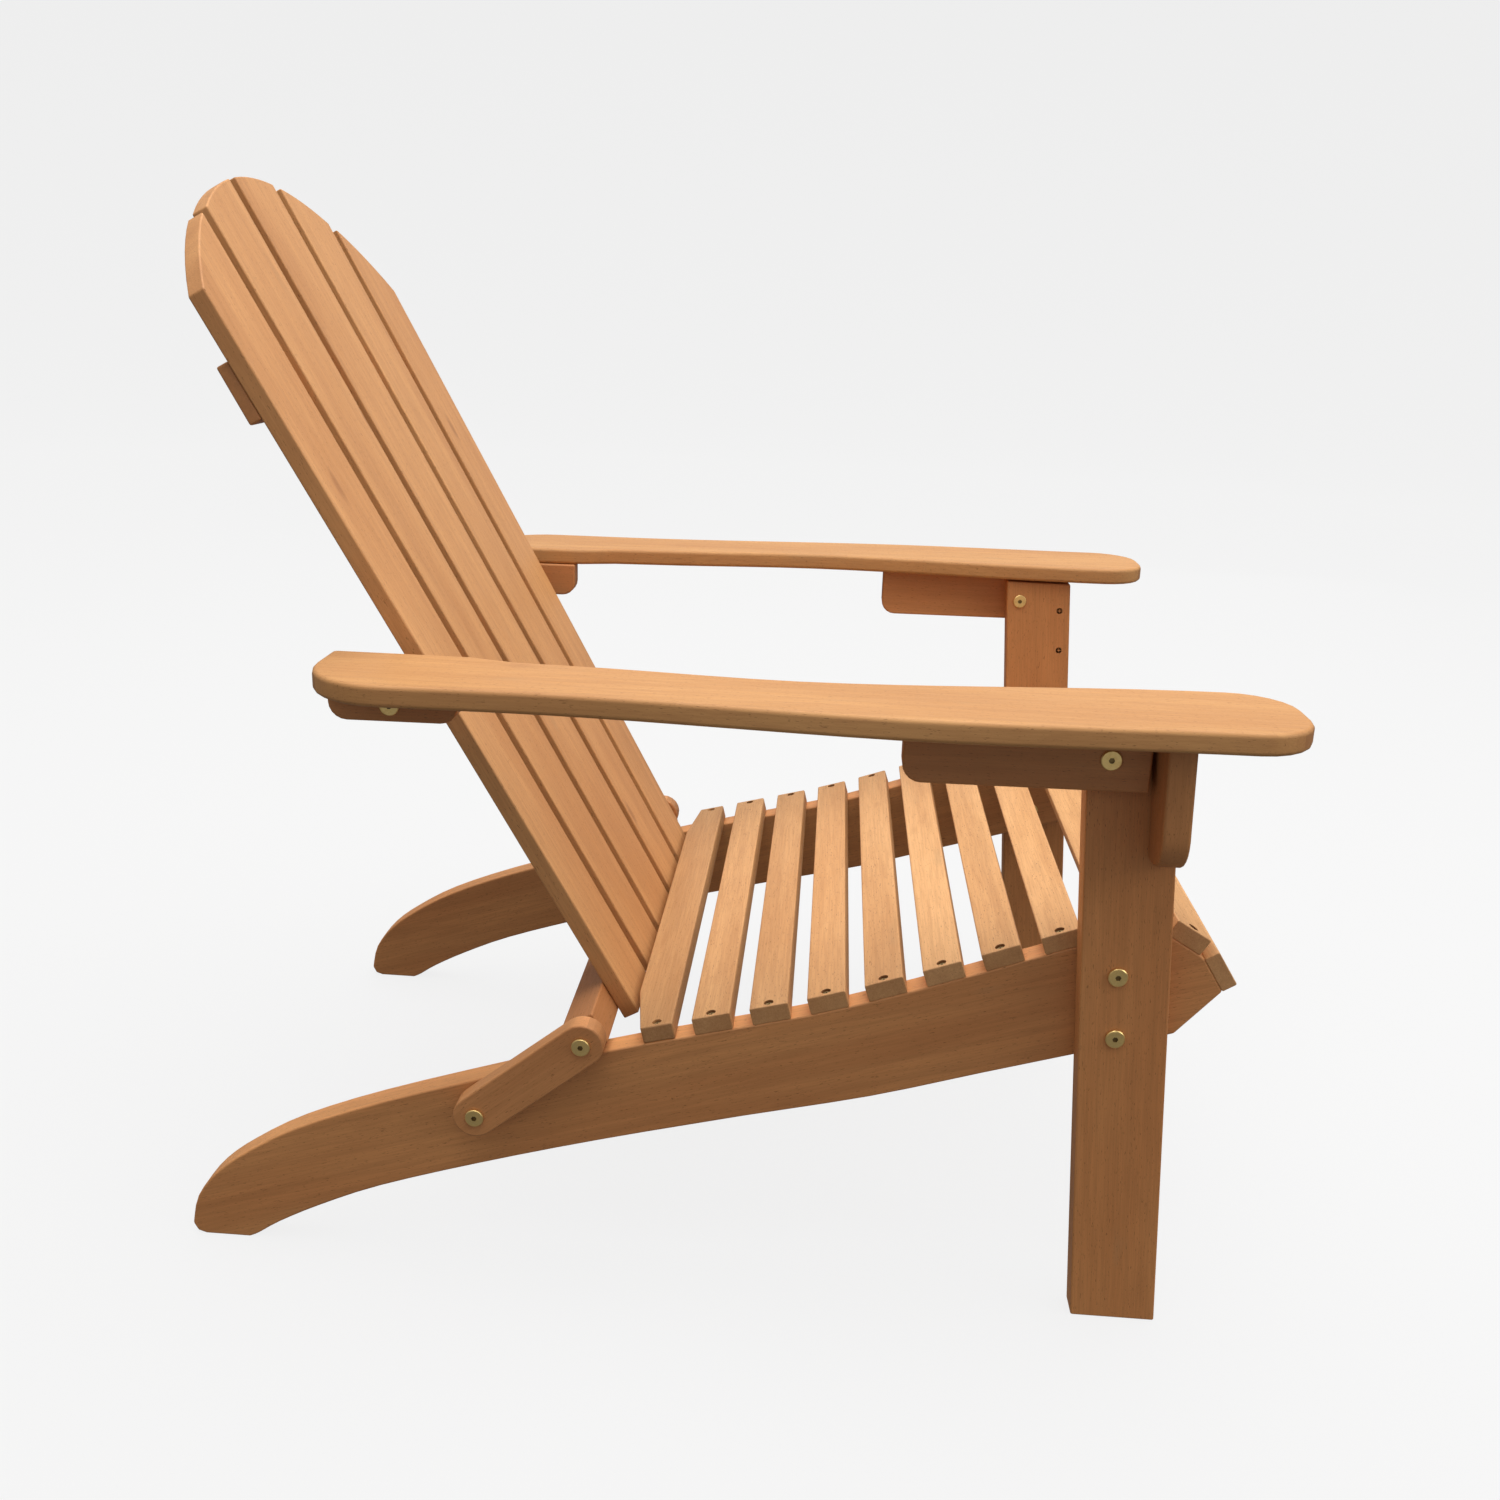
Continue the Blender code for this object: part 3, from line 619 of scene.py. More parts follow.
@dataclass
class Joinery:
    """Cuts boards from the frame's solids and numbers them."""

    cut: int = 0

    def board(self, node: str, body: Body, slot: str, material: bpy.types.Material,
              radius: float, tone: float = 1.0) -> bpy.types.Object:
        """Makes the finished board of one node.

        Args:
            node: the frame's node.
            body: the body that it rides on.
            slot: the record's material slot.
            material: the board's finish.
            radius: the rounding of its edges.
            tone: how light it is beside its neighbours; below 1 it is painted shade.

        Returns:
            The board.
        """
        bm = bmesh.new()
        bm.from_mesh(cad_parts[node].data)
        bmesh.ops.remove_doubles(bm, verts=bm.verts, dist=WELD)
        bmesh.ops.dissolve_limit(bm, angle_limit=FLAT, verts=bm.verts, edges=bm.edges)
        ease(bm, radius)
        mesh = bpy.data.meshes.new(node)
        bm.to_mesh(mesh)
        bm.free()
        return self.dress(mesh, BoardFrame.of(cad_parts[node].data), node, body, slot, material, tone)

    def dress(self, mesh: bpy.types.Mesh, board: BoardFrame, node: str, body: Body, slot: str,
              material: bpy.types.Material, tone: float = 1.0) -> bpy.types.Object:
        """Gives a board's mesh its grain and finish, in place of its node.

        Args:
            mesh: the finished mesh, in place.
            board: the board's axes.
            node: the frame's node.
            body: the body that it rides on.
            slot: the record's material slot.
            material: the board's finish.
            tone: how light it is beside its neighbours; below 1 it is painted shade.

        Returns:
            The board.
        """
        self.cut += 1
        stamp_grain(mesh, board, self.cut, tone)
        piece = finished(mesh, f"{node}_board", material)
        return stand_for(piece, body, slot, node)


# ---------------------------------------------------------------- pieces made by Geometry Nodes


class GeometryRecipe:
    """A Geometry Nodes tree with named inputs, which turns a carrier mesh into a plain mesh."""

    def __init__(self, name: str, inputs: dict[str, float]) -> None:
        """Starts the tree.

        Args:
            name: the tree's name.
            inputs: each named size and its usual value, in metres.
        """
        self.tree = bpy.data.node_groups.new(name, "GeometryNodeTree")
        face = self.tree.interface
        face.new_socket("Geometry", in_out="INPUT", socket_type="NodeSocketGeometry")
        for label, value in inputs.items():
            made = face.new_socket(label, in_out="INPUT", socket_type="NodeSocketFloat")
            made.default_value = value
        face.new_socket("Material", in_out="INPUT", socket_type="NodeSocketMaterial")
        face.new_socket("Geometry", in_out="OUTPUT", socket_type="NodeSocketGeometry")
        self.g = Graph(self.tree)
        self.inlet = self.g.node("NodeGroupInput").outputs
        self.build()

    def build(self) -> None:
        """Adds the recipe's own nodes."""
        raise NotImplementedError

    def finish(self, geometry: Socket) -> None:
        """Ends the tree: real geometry, in its material.

        Args:
            geometry: what the recipe has made.
        """
        real = self.g.node("GeometryNodeRealizeInstances")
        self.g.feed(real.inputs["Geometry"], geometry)
        dressed = self.g.node("GeometryNodeSetMaterial")
        self.g.feed(dressed.inputs["Geometry"], real.outputs["Geometry"])
        self.g.feed(dressed.inputs["Material"], self.inlet["Material"])
        outlet = self.g.node("NodeGroupOutput")
        self.g.feed(outlet.inputs["Geometry"], dressed.outputs["Geometry"])

    def drum(self, radius: Socket, depth: Socket, height: object, sides: int) -> Socket:
        """Adds a cylinder on the Z axis whose middle is at this height, and returns its mesh.

        Args:
            radius: its radius.
            depth: its length.
            height: the height of its middle.
            sides: the number of its sides.

        Returns:
            Its mesh.
        """
        made = self.g.node("GeometryNodeMeshCylinder")
        made.inputs["Vertices"].default_value = sides
        self.g.feed(made.inputs["Radius"], radius)
        self.g.feed(made.inputs["Depth"], depth)
        return self.raised(made.outputs["Mesh"], height)

    def raised(self, geometry: Socket, height: object) -> Socket:
        """Returns the geometry moved along Z.

        Args:
            geometry: what to move.
            height: how far.

        Returns:
            The moved geometry.
        """
        lift = self.g.node("ShaderNodeCombineXYZ")
        self.g.feed(lift.inputs["Z"], height)
        moved = self.g.node("GeometryNodeTransform")
        self.g.feed(moved.inputs["Geometry"], geometry)
        self.g.feed(moved.inputs["Translation"], lift.outputs[0])
        return moved.outputs["Geometry"]

    def marked(self, cutter: Socket) -> Socket:
        """Returns a cutter whose faces are marked, so that what it hollows out gets painted shade.

        Args:
            cutter: the cutter's mesh.

        Returns:
            The marked mesh.
        """
        made = self.g.node("GeometryNodeStoreNamedAttribute", data_type="FLOAT", domain="FACE")
        self.g.feed(made.inputs["Geometry"], cutter)
        made.inputs["Name"].default_value = "hollow_shade"
        made.inputs["Value"].default_value = 1.0
        return made.outputs["Geometry"]

    def boolean(self, operation: str, first: Socket | None, others: Iterable[Socket]) -> Socket:
        """Returns the exact union or difference of meshes.

        Args:
            operation: UNION or DIFFERENCE.
            first: what is cut, or None for a union.
            others: the cutters, or what is joined.

        Returns:
            The resulting mesh.
        """
        made = self.g.node("GeometryNodeMeshBoolean", operation=operation, solver="EXACT")
        if first is not None:
            self.g.feed(made.inputs["Mesh 1"], first)
        for other in others:
            self.g.feed(made.inputs["Mesh 2"], other)
        return made.outputs["Mesh"]

    def on_points(self, instance: Socket) -> Socket:
        """Returns copies of the instance on the carrier's points, each turned by its "turn".

        Args:
            instance: the mesh to copy.

        Returns:
            The copies.
        """
        turn = self.g.node("GeometryNodeInputNamedAttribute", data_type="FLOAT_VECTOR")
        turn.inputs["Name"].default_value = "turn"
        rotation = self.g.node("FunctionNodeEulerToRotation")
        self.g.feed(rotation.inputs[0], turn.outputs["Attribute"])
        placed = self.g.node("GeometryNodeInstanceOnPoints")
        self.g.feed(placed.inputs["Points"], self.inlet["Geometry"])
        self.g.feed(placed.inputs["Instance"], instance)
        self.g.feed(placed.inputs["Rotation"], rotation.outputs[0])
        return placed.outputs["Instances"]

    def mesh(self, carrier: bpy.types.Mesh, material: bpy.types.Material,
             **sizes: float) -> bpy.types.Mesh:
        """Runs the recipe once.

        Args:
            carrier: the points that it works on, which it uses up.
            material: the finish of what it makes.
            sizes: sizes that differ from the usual, by input name with _ for a space.

        Returns:
            The plain mesh.
        """
        holder = bpy.data.objects.new("carrier", carrier)
        bpy.context.scene.collection.objects.link(holder)
        modifier = holder.modifiers.new("Recipe", "NODES")
        modifier.node_group = self.tree
        wanted = {name.replace("_", " "): value for name, value in sizes.items()}
        for item in self.tree.interface.items_tree:
            if item.item_type != "SOCKET" or item.in_out != "INPUT":
                continue
            if item.name in wanted:
                modifier[item.identifier] = float(wanted.pop(item.name))
            elif item.name == "Material":
                modifier[item.identifier] = material
        if wanted:
            raise KeyError(f"{self.tree.name} has no input named {sorted(wanted)}")
        graph = bpy.context.evaluated_depsgraph_get()
        made = bpy.data.meshes.new_from_object(holder.evaluated_get(graph))
        bpy.data.objects.remove(holder)
        bpy.data.meshes.remove(carrier)
        return made


def points_mesh(places: Sequence[Vector], facings: Sequence[Vector]) -> bpy.types.Mesh:
    """Makes loose points for instances.

    Args:
        places: where each one goes.
        facings: the way that each one's +Z looks.

    Returns:
        A mesh of points with a "turn" on each.
    """
    mesh = bpy.data.meshes.new("points")
    mesh.from_pydata([tuple(place) for place in places], [], [])
    turns = [tuple(facing.to_track_quat("Z", "Y").to_euler()) for facing in facings]
    values = mesh.attributes.new("turn", "FLOAT_VECTOR", "POINT")
    values.data.foreach_set("vector", np.array(turns, np.float32).ravel())
    return mesh


class SlatRecipe(GeometryRecipe):
    """One seat slat on its own axes: a rounded section drawn along its length, with two screw holes."""

    def __init__(self) -> None:
        """Builds the tree with the slat's named sizes."""
        super().__init__("seat_slat", {
            "Length": 0.5, "Width": 0.03, "Thickness": 0.014, "Edge radius": 0.002,
            "Hole radius": 0.004, "Hole depth": 0.0035, "Hole inset": 0.0065})

    def build(self) -> None:
        """Draws the section along the slat and cuts the holes."""
        g, inlet = self.g, self.inlet
        half = g.math("MULTIPLY", inlet["Length"], 0.5)
        ends = []
        for sign in (-1.0, 1.0):
            end = g.node("ShaderNodeCombineXYZ")
            g.feed(end.inputs["X"], g.math("MULTIPLY", half, sign))
            ends.append(end.outputs[0])
        line = g.node("GeometryNodeCurvePrimitiveLine")
        g.feed(line.inputs["Start"], ends[0])
        g.feed(line.inputs["End"], ends[1])
        section = g.node("GeometryNodeCurvePrimitiveQuadrilateral")
        g.feed(section.inputs["Width"], inlet["Width"])
        g.feed(section.inputs["Height"], inlet["Thickness"])
        rounded = g.node("GeometryNodeFilletCurve")
        g.feed(rounded.inputs["Curve"], section.outputs["Curve"])
        g.feed(rounded.inputs["Radius"], inlet["Edge radius"])
        swept = g.node("GeometryNodeCurveToMesh")
        g.feed(swept.inputs["Curve"], line.outputs["Curve"])
        g.feed(swept.inputs["Profile Curve"], rounded.outputs["Curve"])
        swept.inputs["Fill Caps"].default_value = True
        self.choose_round(rounded)
        top = g.math("MULTIPLY", inlet["Thickness"], 0.5)
        depth = g.math("MULTIPLY", inlet["Hole depth"], 2.0)
        holes = []
        for sign in (-1.0, 1.0):
            hole = self.drum(inlet["Hole radius"], depth, top, 24)
            reach = g.math("MULTIPLY", g.math("SUBTRACT", half, inlet["Hole inset"]), sign)
            shift = g.node("ShaderNodeCombineXYZ")
            g.feed(shift.inputs["X"], reach)
            moved = g.node("GeometryNodeTransform")
            g.feed(moved.inputs["Geometry"], hole)
            g.feed(moved.inputs["Translation"], shift.outputs[0])
            holes.append(moved.outputs["Geometry"])
        self.finish(self.boolean("DIFFERENCE", swept.outputs["Mesh"], map(self.marked, holes)))

    @staticmethod
    def choose_round(fillet: bpy.types.Node) -> None:
        """Gives the section's corners four flats each.

        Args:
            fillet: the node that rounds the section.
        """
        if "Mode" in fillet.inputs:
            fillet.inputs["Mode"].default_value = "Poly"
        else:
            fillet.mode = "POLY"
        fillet.inputs["Count"].default_value = 4


class BoltRecipe(GeometryRecipe):
    """A flat round head with a chamfered rim and a hexagon socket, on a plain shank down its -Z."""

    def __init__(self) -> None:
        """Builds the tree with the bolt's named sizes."""
        super().__init__("socket_bolt", {"Head radius": 0.0075, "Head thickness": 0.0022, "Rim": 0.0006,
                                         "Socket radius": 0.0023, "Socket depth": 0.0015,
                                         "Shank radius": 0.003, "Shank length": 0.03})

    def build(self) -> None:
        """Joins crown, rim and shank, and sinks the socket. The head's underside is at height 0."""
        g, inlet = self.g, self.inlet
        skirt = g.math("SUBTRACT", inlet["Head thickness"], inlet["Rim"])
        rim = g.node("GeometryNodeMeshCone")
        rim.inputs["Vertices"].default_value = 48
        g.feed(rim.inputs["Radius Bottom"], inlet["Head radius"])
        g.feed(rim.inputs["Radius Top"], g.math("SUBTRACT", inlet["Head radius"], inlet["Rim"]))
        g.feed(rim.inputs["Depth"], inlet["Rim"])
        bodies = [self.drum(inlet["Head radius"], skirt, g.math("MULTIPLY", skirt, 0.5), 48),
                  self.raised(rim.outputs["Mesh"], skirt)]
        overlap = g.math("MULTIPLY", skirt, 0.5)
        length = g.math("ADD", inlet["Shank length"], overlap)
        middle = g.math("SUBTRACT", overlap, g.math("MULTIPLY", length, 0.5))
        bodies.append(self.drum(inlet["Shank radius"], length, middle, 24))
        whole = self.boolean("UNION", None, bodies)
        deep = g.math("MULTIPLY", inlet["Socket depth"], 2.0)
        socket = self.drum(inlet["Socket radius"], deep, inlet["Head thickness"], 6)
        self.finish(self.on_points(self.boolean("DIFFERENCE", whole, [self.marked(socket)])))


class ScrewRecipe(GeometryRecipe):
    """A countersunk screw head with a cross recess, its crown at height 0."""

    def __init__(self) -> None:
        """Builds the tree with the head's named sizes."""
        super().__init__("cross_screw", {
            "Head radius": 0.0032, "Head thickness": 0.0016,
            "Cross width": 0.0008, "Cross length": 0.0042, "Cross depth": 0.0009})

    def build(self) -> None:
        """Turns the tapered head and cuts the cross."""
        g, inlet = self.g, self.inlet
        head = g.node("GeometryNodeMeshCone")
        head.inputs["Vertices"].default_value = 24
        g.feed(head.inputs["Radius Top"], inlet["Head radius"])
        g.feed(head.inputs["Radius Bottom"], g.math("MULTIPLY", inlet["Head radius"], 0.6))
        g.feed(head.inputs["Depth"], inlet["Head thickness"])
        body = self.raised(head.outputs["Mesh"], g.math("MULTIPLY", inlet["Head thickness"], -1.0))
        cuts = []
        for long_way, short_way in (("X", "Y"), ("Y", "X")):
            size = g.node("ShaderNodeCombineXYZ")
            g.feed(size.inputs[long_way], inlet["Cross length"])
            g.feed(size.inputs[short_way], inlet["Cross width"])
            g.feed(size.inputs["Z"], g.math("MULTIPLY", inlet["Cross depth"], 2.0))
            cube = g.node("GeometryNodeMeshCube")
            g.feed(cube.inputs["Size"], size.outputs[0])
            cuts.append(cube.outputs["Mesh"])
        self.finish(self.on_points(self.boolean("DIFFERENCE", body, map(self.marked, cuts))))


# ---------------------------------------------------------------- sub-assemblies


@dataclass
class Workshop:
    """What every sub-assembly is made with."""

    palette: Palette = field(default_factory=Palette.mixed)
    joinery: Joinery = field(default_factory=Joinery)
    slat: SlatRecipe = field(default_factory=SlatRecipe)
    bolt: BoltRecipe = field(default_factory=BoltRecipe)
    screw: ScrewRecipe = field(default_factory=ScrewRecipe)

    def screws(self, name: str, body: Body, places: Sequence[Vector],
               facings: Sequence[Vector]) -> bpy.types.Object:
        """Drives a set of screws.

        Args:
            name: the set's name.
            body: the body that it rides on.
            places: the crown of each head.
            facings: the way that each head looks.

        Returns:
            The set, as one piece.
        """
        mesh = self.screw.mesh(points_mesh(places, facings), self.palette.screw)
        piece = finished(mesh, name, self.palette.screw)
        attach(piece, body.value)
        return piece


@dataclass
class SeatFrame:
    """Rails, front legs and corbels, which carry everything else."""

    shop: Workshop
    rail_edge: float = 0.0019
    leg_edge: float = 0.0017
    corbel_edge: float = 0.0022
    corbel_screws: tuple[tuple[float, float], ...] = ((-0.3421, 0.4715), (-0.3456, 0.4282))
    # Painted shade: the left front leg is painted darker, for shade that falls on it.
    left_leg_tone: float = 0.84

    def build(self) -> list[bpy.types.Object]:
        """Makes the boards and the screws that hold the corbels.

        Returns:
            The boards and the set of screws.
        """
        shop, made = self.shop, []
        for hand in Hand:
            for node, slot, radius in (("seat_rail", "rail_wood", self.rail_edge),
                                       ("front_leg", "leg_wood", self.leg_edge),
                                       ("corbel", "small_wood", self.corbel_edge)):
                material = getattr(shop.palette, slot.removesuffix("_wood"))
                # the left front leg gets painted shade
                in_painted_shade = hand is Hand.LEFT and node == "front_leg"
                tone = self.left_leg_tone if in_painted_shade else 1.0
                made.append(shop.joinery.board(
                    f"{hand.word}_{node}", Body.FRAME, slot, material, radius, tone))
        made.append(self.drive_corbel_screws())
        return made

    def drive_corbel_screws(self) -> bpy.types.Object:
        """Drives two screws through each leg into its corbel, heads flush with the inner face.

        Returns:
            The set of screws.
        """
        places, facings = [], []
        for hand in Hand:
            low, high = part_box(f"{hand.word}_front_leg")
            face = min(abs(low.x), abs(high.x))
            for y, z in self.corbel_screws:
                places.append(Vector((hand.value * face, y, z)))
                facings.append(Vector((-hand.value, 0, 0)))
        return self.shop.screws("corbel_screws", Body.FRAME, places, facings)


@dataclass
class Seat:
    """Level slats, the nose slat and the apron, screwed down at both ends."""

    shop: Workshop
    slat_count: int = 10
    edge: float = 0.0015
    end_edge: float = 0.0010
    hole_radius: float = 0.0040
    hole_depth: float = 0.0035
    hole_inset: float = 0.0065
    head_below: float = 0.0019
    bedded: float = 0.0006
    # Painted shade: the four rearmost slats are painted darker, darkest next to the back, for the shade
    # that the back throws on them.
    rear_tones: tuple[float, ...] = (0.74, 0.84, 0.90, 0.97)
    first_screw_shift: float = -0.00485

    def build(self) -> list[bpy.types.Object]:
        """Makes each slat, the mitred rearmost one from its solid, and drives the screws.

        Returns:
            The slats, the apron and the set of screws.
        """
        names = [f"seat_slat_{number:02d}" for number in range(1, self.slat_count + 1)]
        made, places, facings = [], [], []
        tones_and_painted_light = [*self.rear_tones, *[1.0] * (len(names) + 1 - len(self.rear_tones))]
        for name, tone in zip([*names, "front_apron_slat"], tones_and_painted_light):
            board = BoardFrame.of(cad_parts[name].data)
            first = name == names[0]
            make = self.cut_first_slat if first else self.make_slat
            made.append(make(name, board, tone))
            reach = board.size.x / 2 - self.hole_inset
            across = self.first_screw_shift if first else 0.0
            for sign in (-1, 1):
                places.append(board.point(sign * reach, across, board.size.z / 2 - self.head_below))
                facings.append(board.axes[2].copy())
        made.append(self.shop.screws("seat_screws", Body.FRAME, places, facings))
        return made

    def cut_first_slat(self, name: str, board: BoardFrame, tone: float) -> bpy.types.Object:
        """Makes the rearmost slat, whose rear corners are cut away, with the seat's finish."""
        palette = self.shop.palette
        return self.shop.joinery.board(name, Body.FRAME, "slat_wood", palette.slat, self.edge, tone)

    def make_slat(self, name: str, board: BoardFrame, tone: float) -> bpy.types.Object:
        """Makes one slat.

        Args:
            name: its node.
            board: its axes and size.
            tone: how light it is beside its neighbours; below 1 it is painted shade.

        Returns:
            The slat.
        """
        carrier = bpy.data.meshes.new("carrier")
        mesh = self.shop.slat.mesh(
            carrier, self.shop.palette.slat, Length=board.size.x, Width=board.size.y,
            Thickness=board.size.z + self.bedded, Edge_radius=self.edge, Hole_radius=self.hole_radius,
            Hole_depth=self.hole_depth, Hole_inset=self.hole_inset)
        bm = bmesh.new()
        bm.from_mesh(mesh)
        bmesh.ops.remove_doubles(bm, verts=bm.verts, dist=WELD)
        bmesh.ops.dissolve_limit(bm, angle_limit=FLAT, verts=bm.verts, edges=bm.edges)
        ease(bm, self.end_edge)
        bm.transform(board.place() @ Matrix.Translation((0, 0, -self.bedded / 2)))
        bmesh.ops.recalc_face_normals(bm, faces=bm.faces)
        bm.to_mesh(mesh)
        bm.free()
        palette = self.shop.palette
        return self.shop.joinery.dress(mesh, board, name, Body.FRAME, "slat_wood", palette.slat, tone)


@dataclass
class Armrests:
    """Both armrests with the brackets under them."""

    shop: Workshop
    arm_edge: float = 0.0036
    bracket_edge: float = 0.0019

    def build(self) -> list[bpy.types.Object]:
        """Makes each armrest and its front and rear brackets.

        Returns:
            The six boards.
        """
        made = []
        for hand in Hand:
            body = Body[f"{hand.name}_ARM"]
            for node, slot, radius in (("armrest", "arm_wood", self.arm_edge),
                                       ("front_bracket", "small_wood", self.bracket_edge),
                                       ("rear_bracket", "small_wood", self.bracket_edge)):
                material = getattr(self.shop.palette, slot.removesuffix("_wood"))
                made.append(self.shop.joinery.board(f"{hand.word}_{node}", body, slot, material, radius))
        return made


@dataclass
class Backrest:
    """Five fanned slats on two cross bars and a batten."""

    shop: Workshop
    slat_edge: float = 0.0014
    bar_edge: float = 0.0016
    slats: tuple[str, ...] = ("right_outer", "right_inner", "centre", "left_inner", "left_outer")
    bars: tuple[str, ...] = ("lower_cross_bar", "arm_cross_bar", "upper_batten")
    screw_proud: float = 0.0002
    pair_step: float = 0.011
    foot_band: float = 0.001
    side_above: float = 0.1

    def build(self) -> list[bpy.types.Object]:
        """Makes slats and bars, and the screws behind them.

        Returns:
            The boards and the set of screws.
        """
        shop = self.shop
        made = [shop.joinery.board(f"back_slat_{slat}", Body.BACK, "back_wood", shop.palette.back,
                                   self.slat_edge) for slat in self.slats]
        made += [shop.joinery.board(bar, Body.BACK, "small_wood", shop.palette.small, self.bar_edge)
                 for bar in self.bars]
        made.append(self.drive_screws())
        return made

    def drive_screws(self) -> bpy.types.Object:
        """Drives screws from behind, through each bar into each slat it crosses.

        Returns:
            The set of screws.
        """
        face = BoardFrame.of(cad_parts["back_slat_centre"].data, Vector((0, 1, 0)))
        behind = face.axes[2].normalized()
        rise = Vector((1, 0, 0)).cross(behind).normalized()
        places = []
        for bar in self.bars:
            points = [vert.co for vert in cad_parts[bar].data.vertices]
            depth = max(point.dot(behind) for point in points)
            heights = [point.dot(rise) for point in points]
            height = (min(heights) + max(heights)) / 2
            steps = (-self.pair_step, self.pair_step) if bar == "upper_batten" else (0.0,)
            for slat in self.slats:
                across = self.slat_x(slat, height, rise)
                crown = Vector((across, 0, 0)) + (depth + self.screw_proud) * behind
                places += [crown + (height + step) * rise for step in steps]
        return self.shop.screws("back_screws", Body.BACK, places, [behind] * len(places))

    def slat_x(self, slat: str, height: float, rise: Vector) -> float:
        """Finds a slat's middle at a height, from its foot and its widest point.

        Args:
            slat: the slat's name.
            height: how far up the back.
            rise: the way up the back.

        Returns:
            The middle's x.
        """
        if slat == "centre":
            return 0.0
        points = [vert.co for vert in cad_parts[f"back_slat_{slat}"].data.vertices]
        foot = min(point.dot(rise) for point in points)
        feet = [point.x for point in points if point.dot(rise) < foot + self.foot_band]
        side = [point for point in points if point.dot(rise) > foot + self.side_above]
        sign = math.copysign(1, feet[0])
        widest = max(side, key=lambda point: sign * point.x)
        outer = max(feet, key=lambda x: sign * x)
        share = (height - foot) / (widest.dot(rise) - foot)
        inner = min(feet, key=lambda x: sign * x)
        half = abs(outer - inner) / 2
        return outer + (widest.x - outer) * share - sign * half


@dataclass
class FoldLinks:
    """The round-ended links that the back swings over on."""

    shop: Workshop
    edge: float = 0.0017

    def build(self) -> list[bpy.types.Object]:
        """Makes both links."""
        return [self.shop.joinery.board(f"{hand.word}_fold_link", Body[f"{hand.name}_LINK"], "small_wood",
                                        self.shop.palette.small, self.edge) for hand in Hand]


@dataclass
class Hardware:
    """Socket bolts, sleeve nuts and threaded inserts."""

    shop: Workshop
    head_thick: float = 0.0022
    flange_thick: float = 0.0016
    rim: float = 0.0006
    bolt_radius: float = 0.0030
    sleeve_radius: float = 0.0044
    frame_bolts: tuple[str, ...] = ("leg_bolt_upper", "leg_bolt_lower", "front_arm_bolt", "link_bolt_lower")
    frame_nuts: tuple[str, ...] = ("leg_nut_upper", "leg_nut_lower", "arm_nut", "link_nut")
    inserts: tuple[str, ...] = ("lower_cross_bar_insert", "arm_cross_bar_insert")

    def build(self) -> list[bpy.types.Object]:
        """Makes each bolt and nut where its node lies, and gives the inserts their metal.

        Returns:
            The fasteners.
        """
        made = []
        for hand in Hand:
            for name in self.frame_bolts:
                made.append(self.fasten(f"{hand.word}_{name}", Body.FRAME, hand, self.head_thick, True))
            for name in self.frame_nuts:
                made.append(self.fasten(f"{hand.word}_{name}", Body.FRAME, hand, self.flange_thick, False))
            arm = Body[f"{hand.name}_ARM"]
            made.append(self.fasten(f"{hand.word}_rear_arm_bolt", arm, hand, self.head_thick, True))
            made.append(self.fasten(f"{hand.word}_link_bolt_upper", Body.BACK, hand, self.head_thick, True))
            for name in self.inserts:
                self.dress_insert(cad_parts[f"{hand.word}_{name}"])
        return made

    def fasten(self, node: str, body: Body, hand: Hand, thick: float, outward: bool) -> bpy.types.Object:
        """Makes one bolt or nut where its node lies.

        Args:
            node: the frame's node.
            body: the body that it rides on.
            hand: the side of the chair.
            thick: the head's or flange's thickness.
            outward: whether the head looks away from the chair's middle.

        Returns:
            The fastener.
        """
        low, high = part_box(node)
        near, far = sorted((abs(low.x), abs(high.x)))
        crown = far if outward else near
        under = crown - thick if outward else crown + thick
        centre = (low + high) / 2
        place = Vector((hand.value * under, centre.y, centre.z))
        facing = Vector((hand.value if outward else -hand.value, 0, 0))
        shank = self.bolt_radius if outward else self.sleeve_radius
        mesh = self.shop.bolt.mesh(
            points_mesh([place], [facing]), self.shop.palette.brass, Head_radius=(high.y - low.y) / 2,
            Head_thickness=thick, Rim=self.rim, Shank_radius=shank, Shank_length=far - near - thick)
        piece = finished(mesh, f"{node}_turned", self.shop.palette.brass)
        return stand_for(piece, body, "brass", node)

    def dress_insert(self, node: bpy.types.Object) -> None:
        """Gives an insert of the frame its metal."""
        node.data.materials.clear()
        node.data.materials.append(self.shop.palette.brass)


# ---------------------------------------------------------------- studio


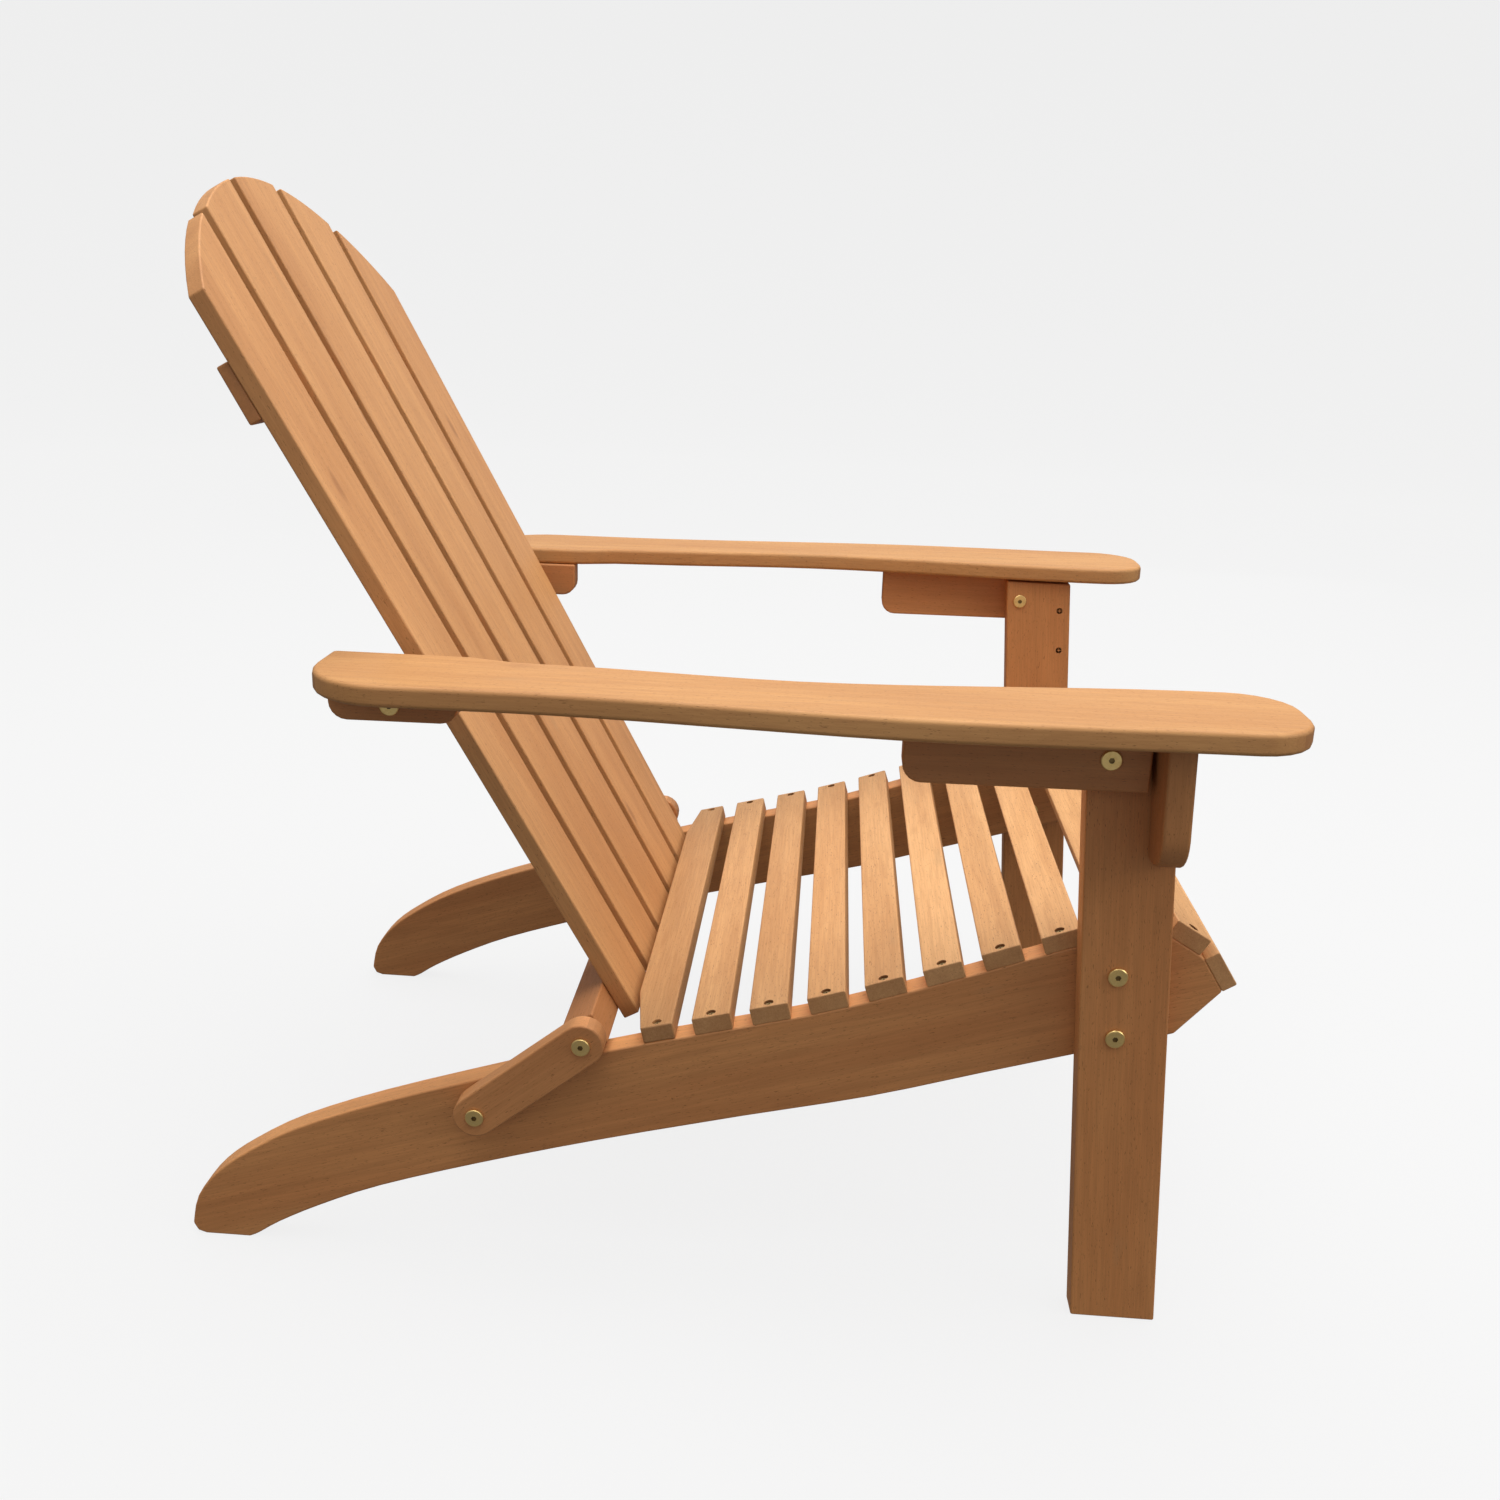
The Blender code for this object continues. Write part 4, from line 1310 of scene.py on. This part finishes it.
@dataclass
class Studio:
    """Pale seamless ground, soft light from above and the camera."""

    lens: float = 35.577
    place: tuple[float, float, float] = (-1.32245, -0.09125, 0.78484)
    azimuth: float = math.radians(2.7371)
    pitch: float = math.radians(-17.1278)
    roll: float = math.radians(2.4666)
    ground_radius: float = 9.0
    wall_height: float = 7.0
    cove_radius: float = 3.0

    def build(self) -> None:
        """Sets the ground, the lights, the sky and the camera."""
        self.ground()
        self.light("overhead_bank", (0.1, -0.1, 2.9), (0.0, 0.0, 0.3), (3.0, 3.6), 95)
        self.light("front_bank", (-0.9, -2.9, 2.0), (0.0, 0.0, 0.45), (2.2, 1.6), 26)
        for side, power in ((-1, 16), (1, 7)):
            card = self.light("side_card", (side * 3.2, -0.2, 1.2), (0.0, 0.0, 0.35), (3.2, 2.4), power)
            card.visible_diffuse = False
        self.sky()
        self.camera()

    def ground(self) -> None:
        """Makes one seamless bowl of paper: flat ground, a cove and a wall."""
        flat = self.ground_radius - self.cove_radius
        profile = [(0.0, 0.0), (flat, 0.0)]
        steps = 12
        for i in range(1, steps + 1):
            turn = math.pi / 2 * i / steps
            profile.append((flat + self.cove_radius * math.sin(turn),
                            self.cove_radius * (1 - math.cos(turn))))
        profile.append((self.ground_radius, self.wall_height))
        bm = bmesh.new()
        verts = [bm.verts.new((x, 0, z)) for x, z in profile]
        for first, second in zip(verts, verts[1:]):
            bm.edges.new((first, second))
        bmesh.ops.spin(bm, geom=[*bm.verts, *bm.edges], axis=(0, 0, 1), cent=(0, 0, 0), steps=96,
                       angle=2 * math.pi)
        bmesh.ops.remove_doubles(bm, verts=bm.verts, dist=1e-4)
        bmesh.ops.recalc_face_normals(bm, faces=bm.faces)
        mesh = bpy.data.meshes.new("paper")
        bm.to_mesh(mesh)
        bm.free()
        mesh.shade_smooth()
        mesh.materials.append(StudioPaper().material())
        paper = bpy.data.objects.new("paper", mesh)
        bpy.context.scene.collection.objects.link(paper)
        paper.visible_diffuse = False
        paper.visible_glossy = False
        paper.visible_shadow = False

    def light(self, name: str, place: Sequence[float], aim: Sequence[float], size: Sequence[float],
              power: float) -> bpy.types.Object:
        """Hangs a soft box.

        Args:
            name: its name.
            place: its middle.
            aim: the point that it faces.
            size: its two sides.
            power: its power in watts.

        Returns:
            The light.
        """
        lamp = bpy.data.lights.new(name, "AREA")
        lamp.shape = "RECTANGLE"
        lamp.size, lamp.size_y = size
        lamp.energy = power
        made = bpy.data.objects.new(name, lamp)
        made.location = place
        made.rotation_euler = (Vector(aim) - Vector(place)).to_track_quat("-Z", "Y").to_euler()
        bpy.context.scene.collection.objects.link(made)
        return made

    def sky(self) -> None:
        """Lights the room softly, more from above than from below."""
        world = bpy.data.worlds.new("room")
        world.use_nodes = True
        g = Graph(world.node_tree)
        way = g.node("ShaderNodeTexCoord").outputs["Generated"]
        parts = g.node("ShaderNodeSeparateXYZ")
        g.feed(parts.inputs[0], way)
        strength = g.ramp(parts.outputs["Z"], -0.35, 0.9, 0.16, 0.62)
        background = world.node_tree.nodes["Background"]
        background.inputs["Color"].default_value = (1.0, 0.99, 0.975, 1)
        g.feed(background.inputs["Strength"], strength)
        bpy.context.scene.world = world

    def camera(self) -> None:
        """Sets the camera beside the sitter's right hand, looking a little down."""
        ahead = Vector((math.cos(self.pitch) * math.cos(self.azimuth),
                        math.cos(self.pitch) * math.sin(self.azimuth), math.sin(self.pitch)))
        level = ahead.cross(Vector((0, 0, 1))).normalized()
        top = level.cross(ahead)
        right = math.cos(self.roll) * level + math.sin(self.roll) * top
        up = right.cross(ahead)
        data = bpy.data.cameras.new("camera")
        data.lens = self.lens
        data.sensor_width = 36
        made = bpy.data.objects.new("camera", data)
        turn = Matrix((right, up, -ahead)).transposed().to_4x4()
        made.matrix_world = Matrix.Translation(self.place) @ turn
        bpy.context.scene.collection.objects.link(made)
        bpy.context.scene.camera = made


def main() -> None:
    """Builds the chair one sub-assembly at a time, then the studio."""
    logging.basicConfig(level=logging.INFO, format="%(message)s")
    scene = bpy.context.scene
    scene.view_settings.view_transform = "Standard"
    shop = Workshop()
    for kind in (SeatFrame, Seat, Armrests, Backrest, FoldLinks, Hardware):
        for piece in kind(shop).build():
            LOG.info("%s: %s, %d faces", kind.__name__, piece.name, len(piece.data.polygons))
    Studio().build()


if __name__ == "__main__":
    main()
